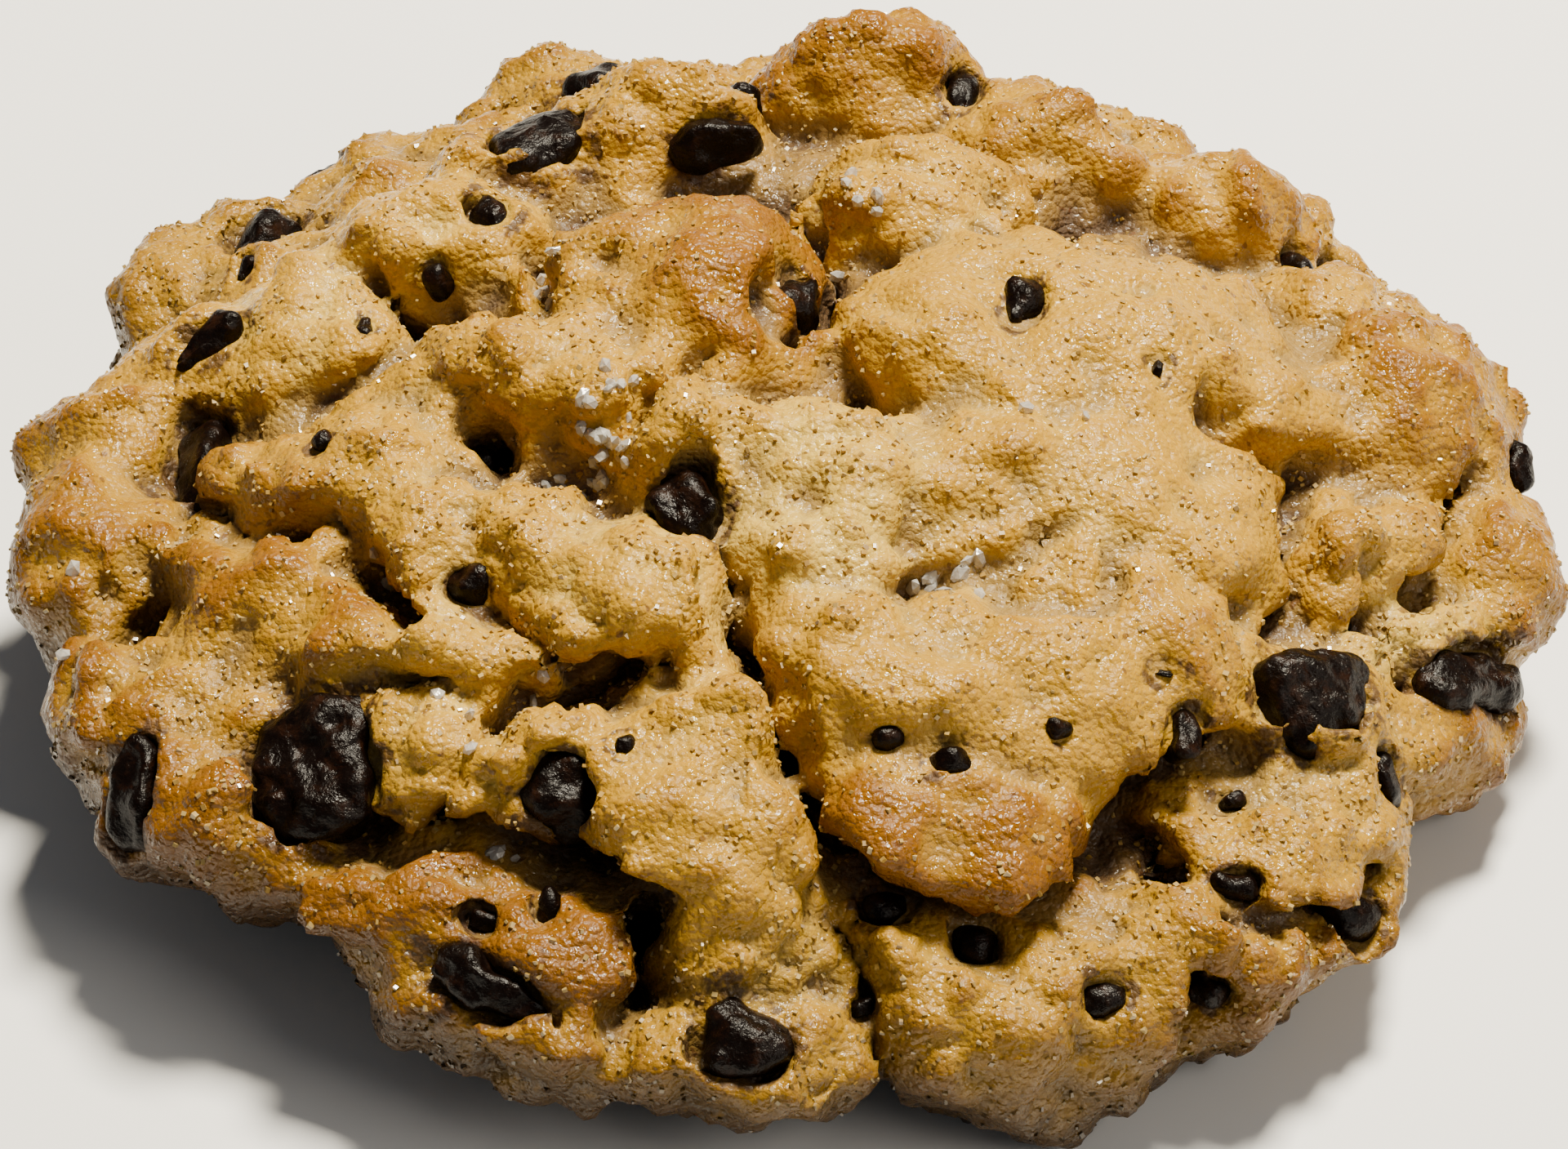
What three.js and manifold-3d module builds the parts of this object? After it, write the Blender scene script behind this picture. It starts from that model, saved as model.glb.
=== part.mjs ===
// A thick, home-baked chocolate chip cookie, in millimetres. It rests on z = 0 with +Z up, its
// origin is under its middle, and its lowest and most broken side faces -Y.
//
// The dough starts as a plain dome. Lobes swell out of it, grooves split it, and hollows are
// scooped from it. Each of these features, and each chip, has its place on the dome as two angles
// seen from the sight point under the base: azimuth about +Z from +X, and polar down from the top.
import * as THREE from "three";
import * as BufferGeometryUtils from "three/addons/utils/BufferGeometryUtils.js";
import Module from "manifold-3d";

const wasm = await Module();
wasm.setup();

// The plain dome: half width, height of its widest ring, rise above and fall below that ring
const RADIUS = 46;
const RING_HEIGHT = 7;
const RISE = 18.5;
const FALL = 16;
// Powers of the dome's profile: higher is squarer
const POWER_ACROSS = 2.2;
const POWER_UP = 1.4;

// Under the lobes lies a core, this far inside the dome
const CORE_INSET = 3.4;
// Lobes are spread a little, so that neighbours meet, and melt together over this distance
const LOBE_SPREAD = 1.16;
const MELT = 0.42;

// The sight point that places are seen from, and the middle that the skin's rays start from
const SIGHT = new THREE.Vector3(0, 0, -15);
const MIDDLE = new THREE.Vector3(0, 0, 6);
// Rays are flattened like the cookie, so that the skin's triangles come out about even
const RAY_FLATTENING = 0.55;
const SKIN_DETAIL = 16;
const RAY_LENGTH = 66;

// A chip sits in a pocket with this much air, and keeps it to its neighbours
const POCKET_GAP = 0.32;
const CHIP_ROUGHNESS = 0.14;
// Chips with a half length above the first have the most triangles, and below the second the fewest
const FINE_CHIP = 4.15;
const COARSE_CHIP = 2.45;

const DOUGH_COLOUR = 0xc6934c;
const CHOCOLATE_COLOUR = 0x2b1a14;

// Lobes: azimuth, polar, half length, half width, half thickness, turn, rise above the dome
const LOBES = [
  // Back edge, from left to right
  [135, 34, 5.8, 3.6, 5.0, 15, 0.9],
  [111, 31, 6.2, 3.4, 5.0, 15, 1.9],
  [78, 38, 6.2, 4.8, 6.5, -20, 3.4],
  [53, 36.5, 6.3, 4.4, 5.5, -15, 1.4],
  [57, 21, 6.4, 4.0, 4.5, -38, 0.8],
  [33, 45, 5.8, 3.7, 5.5, -70, 1.7],
  // Right edge, from the back to the front
  [15, 48.5, 5.2, 4.5, 4.5, 15, 1.2],
  [2, 52, 7.5, 6.0, 6.0, 66, 3.2],
  [340.5, 48.5, 6.8, 3.0, 4.0, 33, 0.6],
  [349, 59, 5.8, 4.2, 5.5, -15, 2.0],
  [334, 61.5, 6.6, 3.8, 5.0, 32, 0.0],
  [337, 55.5, 4.7, 2.4, 3.5, 33, 0.2],
  // Left edge, from the back to the front
  [156, 33.5, 7.3, 4.2, 5.0, 55, 1.3],
  [171, 41.5, 6.1, 5.1, 5.0, 80, 0.9],
  [174, 49, 5.6, 4.4, 5.0, 60, 1.4],
  [179, 55, 5.4, 4.6, 5.5, -40, 2.2],
  [192, 57, 6.4, 4.9, 6.0, 10, 3.2],
  [209.5, 58.5, 5.8, 4.2, 5.0, -10, 3.6],
  [221, 59.5, 7.6, 3.8, 6.0, -18, 3.0],
  // Top, round the middle
  [161.5, 7, 7.3, 6.8, 6.0, -80, 2.0],
  [168.5, 16.5, 5.4, 4.0, 4.5, -15, 0.8],
  [196.5, 24, 7.2, 4.1, 4.5, -73, 1.0],
  [218, 17, 4.2, 3.2, 4.0, -27, 0.8],
  [246.5, 18, 3.9, 3.7, 4.0, 70, 1.0],
  [279.5, 23, 7.2, 4.8, 5.0, -78, 1.0],
  // Left slope
  [199.5, 42, 7.3, 3.7, 5.0, -34, 1.0],
  [200, 35, 4.8, 3.7, 4.0, -39, 0.6],
  [210.5, 47.5, 7.3, 3.8, 5.5, -28, 1.4],
  [221.5, 45, 5.1, 3.4, 5.0, 0, 1.0],
  [212, 53.5, 6.1, 3.5, 5.0, -20, 0.6],
  [235.5, 49, 4.8, 4.0, 4.5, 12, 0.4],
  // Broken ground between the left slope and the front
  [215.5, 35, 5.3, 3.2, 4.0, -16, 0.6],
  [249.5, 32.5, 5.7, 4.3, 5.0, 25, 1.6],
  [231.5, 31.5, 4.4, 3.0, 4.0, 3, 0.8],
  [245.5, 38.5, 3.8, 2.2, 3.5, -4, 0.4],
  [231.5, 41, 4.4, 2.9, 4.0, 3, 0.4],
  // Wide plates from the back right down to the front
  [354, 26, 12.6, 9.5, 6.5, 83, 1.8],
  [320.5, 30, 12.2, 7.2, 6.0, 53, 0.6],
  [290, 40.5, 10.4, 6.6, 6.5, 20, 1.2],
  [284.5, 50.5, 7.4, 5.2, 6.0, 17, 1.6],
  [309.5, 43.5, 7.5, 6.7, 6.0, -9, 1.0],
  [276, 35.5, 3.8, 3.6, 4.5, -74, 0.8],
  [263.5, 48.5, 6.7, 5.6, 6.0, 20, 1.6],
  [247.5, 46.5, 5.2, 3.6, 5.0, -26, 1.0],
  [263, 40.5, 3.4, 2.4, 4.0, 20, 0.6],
  // Lower front, from left to right
  [240.5, 57.5, 7.2, 2.8, 4.5, -10, 1.8],
  [248, 62, 7.8, 3.7, 5.5, 3, 0.9],
  [254.5, 57.5, 4.3, 2.7, 4.5, 5, 1.6],
  [254, 63, 5.4, 2.6, 4.5, -4, 1.8],
  [267, 56.5, 4.8, 2.7, 4.5, -2, 0.2],
  [268, 63.5, 6.6, 2.6, 5.0, -2, 2.4],
  [280, 57.5, 4.2, 2.7, 4.5, 7, 0.4],
  [287, 64, 8.9, 4.9, 6.0, 16, 1.5],
  [296.5, 66.5, 4.8, 4.0, 4.5, -77, 2.4],
  [297.5, 59, 5.1, 3.3, 4.5, 6, 1.0],
  [312, 59, 7.8, 4.3, 6.0, 11, 1.6],
  [320, 54, 5.7, 4.7, 5.0, 23, 0.8],
  [304, 66.5, 6.5, 5.9, 5.5, -65, 2.4],
  [312.5, 64.5, 4.8, 3.2, 4.5, 49, 2.0],
];

// Lobes on the side turned away, in rows: polar, spacing in degrees, half length, half width, rise
const FAR_ROWS = [
  [51, 15, 6.0, 4.4, -2.3],
  [61, 14, 6.4, 4.6, -2.0],
  [67, 16, 6.6, 3.8, 0.2],
];
const FAR_FROM = 12;
const FAR_TO = 168;
const FAR_THICKNESS = 5;
// Each far lobe is off its row's values by chance: smallest size and range of sizes, then the
// widest differences in azimuth, polar, turn and rise
const FAR_SMALLEST = 0.85;
const FAR_SIZE_RANGE = 0.3;
const FAR_AZIMUTH_RANGE = 5;
const FAR_POLAR_RANGE = 4;
const FAR_TURN_RANGE = 50;
const FAR_RISE_RANGE = 1;
const FAR_SEED = 5;

// Grooves: half width, depth, then the places that each one runs through
const GROOVES = [
  // Under the lip of the left plate, and under the long front lip
  [2.4, 4.2, [[233, 57.5], [243, 55.5], [254.5, 55.5], [260, 56]]],
  [2.8, 4.6, [[274, 53.5], [282, 56.5], [287, 58.5], [292, 57.5], [299, 57], [305, 55], [313, 54]]],
  // Down the middle of the front, and across the left
  [2.0, 3.4, [[260.5, 30.5], [262, 34.5], [266.5, 37], [271, 44], [272.5, 50]]],
  [1.8, 2.6, [[193.5, 50], [206.5, 43.5], [208.5, 41], [217, 41], [227, 42]]],
  [1.9, 3.0, [[254.5, 38], [245, 42], [240.5, 46], [239.5, 52.5]]],
  // Thin break in the plates, and the split that parts them from the right edge
  [1.6, 1.2, [[289, 31.5], [306, 31.5], [312.5, 33]]],
  [2.2, 3.8, [[343.5, 34], [344, 39.5], [347, 45], [334, 46], [326.5, 48.5]]],
  // Round the middle lobe and along the back
  [1.8, 2.0, [[309.5, 10], [311.5, 15.5]]],
  [1.8, 2.4, [[42, 24.5], [37, 27], [40, 34], [37, 38.5]]],
  [2.2, 3.4, [[118, 25], [106, 25], [94.5, 24], [79.5, 16], [73.5, 13.5]]],
  [2.0, 3.0, [[73.5, 13.5], [59, 12], [343.5, 3.5], [270, 4]]],
  [1.8, 2.4, [[164.5, 37], [166, 35.5], [170, 33.5], [167.5, 31]]],
  [1.8, 2.4, [[151, 24.5], [171, 20.5], [188.5, 22.5]]],
  // Right front, and the layer under it
  [1.9, 3.0, [[336.5, 49.5], [333.5, 53], [332, 57.5]]],
  [2.0, 2.0, [[303, 61], [300, 62.5], [297, 65.5]]],
  [2.0, 2.4, [[302, 58], [304.5, 60.5], [310.5, 62.5], [317, 63]]],
  [1.8, 2.4, [[340, 53.5], [347.5, 55], [354, 55]]],
  // Lower front
  [1.9, 1.4, [[275.5, 58], [277, 63]]],
  [2.0, 3.0, [[259.5, 55.5], [258.5, 62.5]]],
  // Left slope
  [1.8, 2.4, [[227, 46.5], [231, 44.5], [236.5, 45.5]]],
  [1.8, 1.8, [[207.5, 58.5], [202.5, 56], [201.5, 53.5]]],
  [1.8, 2.4, [[203, 29], [209, 29.5], [207, 27.5]]],
  [1.8, 2.2, [[232.5, 38.5], [239.5, 39], [245, 40.5]]],
  [1.7, 1.8, [[233.5, 20], [230, 15.5], [227.5, 11]]],
  [1.7, 1.6, [[151, 49.5], [167.5, 42.5]]],
  // Side turned away
  [2.2, 1.8, [[120, 50], [114, 56], [117, 61]]],
  [2.0, 2.6, [[95, 50], [88, 57], [74, 59]]],
  [2.2, 2.8, [[52, 48], [47, 55], [50, 64]]],
];

// Hollows: azimuth, polar, half length, half width, half depth, turn, rise of the centre
const HOLLOWS = [
  [262.5, 3, 3.4, 2.2, 2.6, 80, 0.5],
  [165, 35.5, 1.8, 1.4, 3.0, -20, 0.5],
  [253, 24.5, 2.9, 2.2, 1.8, -85, 0.3],
  [347, 46.5, 3.0, 2.0, 3.0, 5, 0.3],
  [254.5, 38, 1.9, 1.6, 3.4, 70, 0.5],
];

// Rounded lumps all over the skin, with creases between them: size, standing, seed. They swell to
// a share of their standing above the skin, and the creases lie a smaller share below it.
const LUMPS = [
  [5.0, 0.42, 22],
  [2.6, 0.3, 23],
];
const LUMP_SWELL = 2.4;
const LUMP_CREASE = 0.3;
// The whole shape is pushed about, so that no lobe keeps a perfect form: size, push, seed
const SWIRLS = [
  [4.2, 0.9, 1],
  [1.7, 0.45, 10],
];

// Chips that show: azimuth, polar, half length, half width, half thickness, turn, how far the
// top shows above the dough, and the corners of its outline, 0 where it is round
const CHIPS = [
  // The four largest
  [228, 52.5, 4.9, 4.4, 3.0, 42, 1.3, 0],
  [321.5, 51.5, 4.3, 3.5, 2.8, 10, 1.2, 3],
  [337, 59.5, 4.5, 2.4, 2.4, 40, 1.1, 0],
  [249.5, 47.5, 2.9, 2.6, 2.4, 0, 0.6, 0],
  // Back
  [129, 32, 3.9, 3.0, 2.2, 20, 1.0, 0],
  [149.5, 28, 2.2, 1.8, 1.8, -83, 0.8, 0],
  [97, 30.5, 2.4, 1.5, 1.6, -20, 0.7, 0],
  [103, 25, 3.2, 1.5, 1.8, 0, 0.9, 0],
  [65.5, 35.5, 2.2, 1.5, 1.8, 68, 0.7, 0],
  // Left
  [174.5, 45.5, 3.1, 1.4, 1.6, 60, 0.8, 0],
  [185, 49, 3.9, 2.4, 2.2, 5, 1.0, 0],
  [218.5, 59.5, 3.8, 2.2, 2.4, 60, 1.0, 0],
  [228.5, 37, 1.7, 1.5, 1.6, 15, 0.8, 0],
  // Top and front
  [55, 2.5, 2.4, 1.6, 2.0, 60, 0.9, 0],
  [354, 19, 2.2, 1.4, 1.6, 6, 0.8, 0],
  [251.5, 24, 2.9, 2.3, 2.4, 54, 1.2, 0],
  [285.5, 45, 1.7, 1.5, 1.6, 0, 0.8, 0],
  [308, 48.5, 1.8, 1.5, 1.6, -47, 0.8, 4],
  // Right
  [24.5, 48.5, 2.1, 1.2, 1.6, 5, 0.7, 0],
  [359.5, 58, 2.1, 1.4, 1.6, -5, 0.8, 0],
  [322.5, 59, 2.4, 1.4, 1.8, -75, 0.9, 0],
  [313, 64, 2.4, 1.8, 1.8, 37, 0.8, 0],
  // Lower front
  [249.5, 60, 4.7, 1.7, 2.2, 12, 0.9, 0],
  [267, 61.2, 2.8, 2.4, 2.4, -5, 1.0, 3],
  [292.5, 61, 1.9, 1.4, 1.6, 18, 0.8, 0],
  // Small pieces in the breaks
  [156, 50.5, 1.7, 1.2, 1.4, 20, 0.7, 0],
  [254.5, 44, 1.1, 1.0, 1.3, 80, 0.8, 0],
  [247, 57, 1.5, 1.1, 1.3, 10, 0.8, 0],
  [251.5, 55.4, 1.5, 1.2, 1.4, 30, 0.8, 0],
  [278.5, 54, 1.9, 1.3, 1.5, 0, 0.8, 0],
  [284.5, 57, 1.8, 1.3, 1.5, 25, 0.8, 0],
  [305, 58, 1.5, 1.1, 1.4, 30, 0.8, 0],
  [205, 29, 1.3, 1.0, 1.4, 0, 0.6, 0],
  [310, 54.5, 1.2, 1.0, 1.3, 0, 0.8, 0],
  [300.5, 63.5, 1.3, 0.9, 1.3, 0, 0.8, 0],
  [333.5, 52, 1.1, 0.8, 1.2, 0, 0.7, 0],
  // Small pieces in the open skin
  [280, 43, 1.0, 0.8, 1.1, 0, 0.6, 0],
  [296.5, 45, 0.9, 0.8, 1.1, 0, 0.6, 0],
  [309, 44.3, 1.2, 1.0, 1.2, 40, 0.7, 0],
  [344.5, 29.5, 1.1, 0.9, 1.2, 0, 0.7, 0],
  [164, 30.5, 1.1, 0.9, 1.2, 0, 0.7, 0],
  [200, 37.5, 1.1, 1.0, 1.2, 0, 0.7, 0],
  [174.5, 35, 1.1, 0.8, 1.2, 0, 0.7, 0],
  [275.5, 60, 1.2, 1.0, 1.2, 0, 0.7, 0],
  // Side turned away
  [26, 55, 3.2, 2.4, 2.4, 20, 0.9, 0],
  [45, 62, 3.8, 2.2, 2.4, -30, 0.9, 0],
  [64, 53, 2.6, 2.2, 2.2, 50, 0.8, 3],
  [86, 63, 3.4, 2.6, 2.6, 10, 0.9, 0],
  [108, 54, 3.6, 2.3, 2.4, -50, 0.9, 0],
  [133, 62, 2.8, 2.2, 2.4, 70, 0.8, 0],
  [146, 56, 3.4, 2.6, 2.6, 0, 0.9, 3],
  [162, 63, 2.6, 2.0, 2.4, 30, 0.8, 0],
];

// Chips in the flat base, cut flush with it: x, y, half length, half width, turn
const BASE_CHIPS = [
  [-20, 9, 3.6, 2.8, 30],
  [14, 19, 3.2, 2.4, 100],
  [22, -8, 3.9, 2.6, 60],
  [-7, -21, 3.0, 2.6, 150],
];
const BASE_CHIP_THICKNESS = 2.8;
const BASE_CHIP_HEIGHT = 1.4;
// A chip's own form: the size of its bumps on a ball of radius 1, and how far a corner is drawn out
const CHIP_BUMP = 0.9;
const CHIP_CORNER = 0.16;
const CHIP_SEED = 40;

// Clusters of coarse salt: azimuth, polar and how many flakes
const SALT = [
  [227, 21.5, 4],
  [224.5, 23.5, 3],
  [170, 21.5, 3],
  [294.5, 31.5, 3],
  [170, 33, 2],
  [65, 14, 2],
  [240, 45, 2],
  [212.5, 43, 1],
  [201, 55, 1],
  [247, 53.5, 2],
  [329.5, 24.5, 1],
];
const FLAKE_RADIUS = 0.7;
const FLAKE_THICKNESS = 0.5;
const FLAKE_RISE = 0.1;
const FLAKE_SMALLEST = 0.75;
const FLAKE_SIZE_RANGE = 0.5;
// Degrees that a cluster spreads over, and the most that a flake tilts, in radians
const FLAKE_SPREAD = 2.6;
const FLAKE_TILT_RANGE = 1.2;
const FLAKE_SIDES = 5;
const FLAKE_SEED = 11;

// Seeded, so that every build draws the same numbers
function seeded(seed) {
  let state = seed;
  return function () {
    state = (state + 0x6d2b79f5) | 0;
    let mixed = Math.imul(state ^ (state >>> 15), 1 | state);
    mixed = (mixed + Math.imul(mixed ^ (mixed >>> 7), 61 | mixed)) ^ mixed;
    return ((mixed ^ (mixed >>> 14)) >>> 0) / 4294967296;
  };
}

// Value noise between -1 and 1, with lumps of the given size
function latticeValue(i, j, k, seed) {
  const wave = Math.sin(i * 12.9898 + j * 78.233 + k * 37.719 + seed * 4.137) * 43758.5453;
  return wave - Math.floor(wave);
}

function noise(point, size, seed) {
  const scaled = [point.x / size, point.y / size, point.z / size];
  const cell = scaled.map(Math.floor);
  const fade = scaled.map((value, axis) => {
    const part = value - cell[axis];
    return part * part * (3 - 2 * part);
  });
  let total = 0;
  for (let corner = 0; corner < 8; corner++) {
    const step = [corner & 1, (corner >> 1) & 1, corner >> 2];
    const weight = step.reduce((share, on, axis) => share * (on ? fade[axis] : 1 - fade[axis]), 1);
    total += weight * latticeValue(cell[0] + step[0], cell[1] + step[1], cell[2] + step[2], seed);
  }
  return 2 * total - 1;
}

// The plain dome, as a distance to it, a place on it, and the directions at a place
const LEAST_SLOPE = 0.015;
const FARTHEST = 12;
function domeDistance(point) {
  const across = Math.hypot(point.x, point.y) + 1e-9;
  const up = Math.abs(point.z - RING_HEIGHT) + 1e-6;
  const height = point.z > RING_HEIGHT ? RISE : FALL;
  const acrossPart = (across / RADIUS) ** POWER_ACROSS;
  const upPart = (up / height) ** POWER_UP;
  const slope = Math.hypot((POWER_ACROSS * acrossPart) / across, (POWER_UP * upPart) / up) + LEAST_SLOPE;
  return THREE.MathUtils.clamp((acrossPart + upPart - 1) / slope, -FARTHEST, FARTHEST);
}

function sightDirection(azimuth, polar) {
  const down = THREE.MathUtils.degToRad(polar);
  const turned = THREE.MathUtils.degToRad(azimuth);
  const across = Math.sin(down);
  return new THREE.Vector3(across * Math.cos(turned), across * Math.sin(turned), Math.cos(down));
}

// Walks in along a ray from outside, then halves the last step until it lies on the surface. As
// the distances are rough ones, each step is only a part of the distance.
const STEP_SHARE = 0.5;
const SHORTEST_STEP = 0.12;
const LONGEST_STEP = 2.5;
const HALVINGS = 14;
function surfacePoint(origin, direction, distanceTo) {
  const point = new THREE.Vector3();
  const at = (length) => point.copy(direction).multiplyScalar(length).add(origin);
  let outside = RAY_LENGTH;
  let inside = outside;
  let distance = distanceTo(at(inside));
  while (distance > 0) {
    outside = inside;
    inside -= THREE.MathUtils.clamp(STEP_SHARE * distance, SHORTEST_STEP, LONGEST_STEP);
    distance = distanceTo(at(inside));
  }
  for (let step = 0; step < HALVINGS; step++) {
    const between = (outside + inside) / 2;
    if (distanceTo(at(between)) > 0) {
      outside = between;
    } else {
      inside = between;
    }
  }
  return at(inside).clone();
}

function domeNormal(point) {
  const nudge = 0.01;
  const slope = ["x", "y", "z"].map((axis) => {
    const ahead = point.clone();
    const behind = point.clone();
    ahead[axis] += nudge;
    behind[axis] -= nudge;
    return domeDistance(ahead) - domeDistance(behind);
  });
  return new THREE.Vector3(...slope).normalize();
}

// A matrix whose X runs along a feature, Y across it and Z out of the dough
function featureMatrix(point, normal, turn, rise) {
  const round = new THREE.Vector3(-point.y, point.x, 0).normalize();
  round.addScaledVector(normal, -round.dot(normal)).normalize();
  const down = new THREE.Vector3().crossVectors(round, normal);
  const angle = THREE.MathUtils.degToRad(turn);
  const along = round.multiplyScalar(Math.cos(angle)).addScaledVector(down, Math.sin(angle));
  const across = new THREE.Vector3().crossVectors(normal, along);
  const centre = point.clone().addScaledVector(normal, rise);
  return new THREE.Matrix4().makeBasis(along, across, normal).setPosition(centre);
}

function domeMatrix(azimuth, polar, turn, rise) {
  const point = surfacePoint(SIGHT, sightDirection(azimuth, polar), domeDistance);
  return featureMatrix(point, domeNormal(point), turn, rise);
}

// An ellipsoid stands ready as its inverse matrix, its half sizes, and how far off it still counts
const ELLIPSOID_MARGIN = 4;
function ellipsoid(matrix, halfSizes) {
  return {
    inverse: matrix.clone().invert(),
    centre: new THREE.Vector3().setFromMatrixPosition(matrix),
    halfSizes: new THREE.Vector3(...halfSizes),
    reach: Math.max(...halfSizes) + ELLIPSOID_MARGIN,
  };
}

const local = new THREE.Vector3();
function ellipsoidDistance(shape, point) {
  local.copy(point).applyMatrix4(shape.inverse).divide(shape.halfSizes);
  const level = local.length();
  const slope = local.divide(shape.halfSizes).length() + 1e-9;
  return (level * (level - 1)) / slope;
}

function farLobes() {
  const random = seeded(FAR_SEED);
  const offset = (range) => range * (random() - 0.5);
  const rows = [];
  for (const [polar, spacing, halfLength, halfWidth, rise] of FAR_ROWS) {
    for (let azimuth = FAR_FROM + (random() * spacing) / 2; azimuth < FAR_TO; azimuth += spacing) {
      const size = FAR_SMALLEST + FAR_SIZE_RANGE * random();
      const place = [azimuth + offset(FAR_AZIMUTH_RANGE), polar + offset(FAR_POLAR_RANGE)];
      const turn = offset(FAR_TURN_RANGE);
      const lift = rise + FAR_RISE_RANGE * random();
      rows.push([...place, halfLength * size, halfWidth * size, FAR_THICKNESS, turn, lift]);
    }
  }
  return rows;
}

const lobes = [...LOBES, ...farLobes()].map(([azimuth, polar, length, width, thickness, turn, rise]) =>
  ellipsoid(domeMatrix(azimuth, polar, turn, rise - thickness), [
    length * LOBE_SPREAD,
    width * LOBE_SPREAD,
    thickness,
  ]),
);

const hollows = HOLLOWS.map(([azimuth, polar, length, width, depth, turn, rise]) =>
  ellipsoid(domeMatrix(azimuth, polar, turn, rise), [length, width, depth]),
);

const grooves = GROOVES.map(([halfWidth, depth, path]) => {
  const ends = path.map(([azimuth, polar]) => sightDirection(azimuth, polar));
  const stretches = ends.slice(1).map((end, index) => new THREE.Line3(ends[index], end));
  return { halfWidth, depth, stretches };
});

// How deep the grooves cut at a point: nearest stretch of each, fading to nothing at its edge
const sighted = new THREE.Vector3();
const nearest = new THREE.Vector3();
function grooveDepth(point) {
  sighted.copy(point).sub(SIGHT);
  const range = sighted.length();
  sighted.divideScalar(range);
  let deepest = 0;
  for (const { halfWidth, depth, stretches } of grooves) {
    for (const stretch of stretches) {
      stretch.closestPointToPoint(sighted, true, nearest);
      const aside = nearest.distanceTo(sighted) * range;
      deepest = Math.max(deepest, depth * (1 - aside / halfWidth));
    }
  }
  return deepest;
}

// The whole dough as a distance: core and lobes melted together, then hollows, grooves and lumps
function meltShare(distance) {
  return Math.exp(-THREE.MathUtils.clamp(distance, -8, 20) / MELT);
}

const swirled = new THREE.Vector3();
function doughDistance(point) {
  swirled.copy(point);
  for (const [size, push, seed] of SWIRLS) {
    swirled.x += push * noise(point, size, seed);
    swirled.y += push * noise(point, size, seed + 1);
    swirled.z += push * noise(point, size, seed + 2);
  }
  let melted = meltShare(domeDistance(swirled) + CORE_INSET);
  for (const lobe of lobes) {
    if (lobe.centre.distanceToSquared(swirled) < lobe.reach ** 2) {
      melted += meltShare(ellipsoidDistance(lobe, swirled));
    }
  }
  let distance = -MELT * Math.log(melted);
  for (const hollow of hollows) {
    if (hollow.centre.distanceToSquared(swirled) < hollow.reach ** 2) {
      distance = Math.max(distance, -ellipsoidDistance(hollow, swirled));
    }
  }
  distance += grooveDepth(swirled);
  for (const [size, standing, seed] of LUMPS) {
    distance -= standing * (LUMP_SWELL * Math.abs(noise(swirled, size, seed)) - LUMP_CREASE);
  }
  return distance;
}

// A three.js geometry to a solid and back, for the joins and cuts
function toSolid(geometry) {
  const bare = new THREE.BufferGeometry();
  bare.setAttribute("position", geometry.getAttribute("position"));
  bare.setIndex(geometry.getIndex());
  const merged = BufferGeometryUtils.mergeVertices(bare, 1e-5);
  const vertProperties = Float32Array.from(merged.getAttribute("position").array);
  const triVerts = Uint32Array.from(merged.getIndex().array);
  return new wasm.Manifold(new wasm.Mesh({ numProp: 3, vertProperties, triVerts }));
}

function toGeometry(solid) {
  const mesh = solid.getMesh();
  const geometry = new THREE.BufferGeometry();
  geometry.setAttribute("position", new THREE.BufferAttribute(mesh.vertProperties, 3));
  geometry.setIndex(new THREE.BufferAttribute(mesh.triVerts, 1));
  return geometry;
}

// Moves every vertex of a geometry to where the given rule puts it
function reshape(geometry, rule) {
  const position = geometry.getAttribute("position");
  const vertex = new THREE.Vector3();
  for (let index = 0; index < position.count; index++) {
    vertex.fromBufferAttribute(position, index);
    const moved = rule(vertex);
    position.setXYZ(index, moved.x, moved.y, moved.z);
  }
  return geometry;
}

function sharedSphere(detail) {
  const sphere = new THREE.IcosahedronGeometry(1, detail);
  sphere.deleteAttribute("normal");
  sphere.deleteAttribute("uv");
  return BufferGeometryUtils.mergeVertices(sphere, 1e-5);
}

function doughSkin() {
  return reshape(sharedSphere(SKIN_DETAIL), (vertex) => {
    const direction = new THREE.Vector3(vertex.x, vertex.y, vertex.z * RAY_FLATTENING).normalize();
    return surfacePoint(MIDDLE, direction, doughDistance);
  });
}

const skin = new THREE.Mesh(doughSkin());

// The point of the skin at a place, seen from outside
const sightLine = new THREE.Raycaster();
function skinPoint(azimuth, polar) {
  const direction = sightDirection(azimuth, polar);
  const outside = SIGHT.clone().addScaledVector(direction, RAY_LENGTH);
  sightLine.set(outside, direction.negate());
  return sightLine.intersectObject(skin)[0].point;
}

// Everything above the surface that the cookie rests on
function aboveBase() {
  const side = 3 * RADIUS;
  return toSolid(new THREE.BoxGeometry(side, side, side).translate(0, 0, side / 2));
}

// A chip: a rough, rounded lump, with its outline drawn out to corners where it has them
function chipDetail(halfSizes) {
  const longest = Math.max(...halfSizes);
  if (longest > FINE_CHIP) {
    return 2;
  }
  return longest < COARSE_CHIP ? 0 : 1;
}

function chipGeometry(halfSizes, corners, seed, matrix, grow) {
  return reshape(sharedSphere(chipDetail(halfSizes)), (vertex) => {
    const rough = 1 + CHIP_ROUGHNESS * noise(vertex, CHIP_BUMP, seed);
    const pointed = corners ? 1 + CHIP_CORNER * Math.cos(corners * Math.atan2(vertex.y, vertex.x)) : 1;
    const reached = new THREE.Vector3(...halfSizes).multiplyScalar(rough);
    reached.x *= pointed;
    reached.y *= pointed;
    reached.addScalar(grow);
    return reached.multiply(vertex).applyMatrix4(matrix);
  });
}

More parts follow.
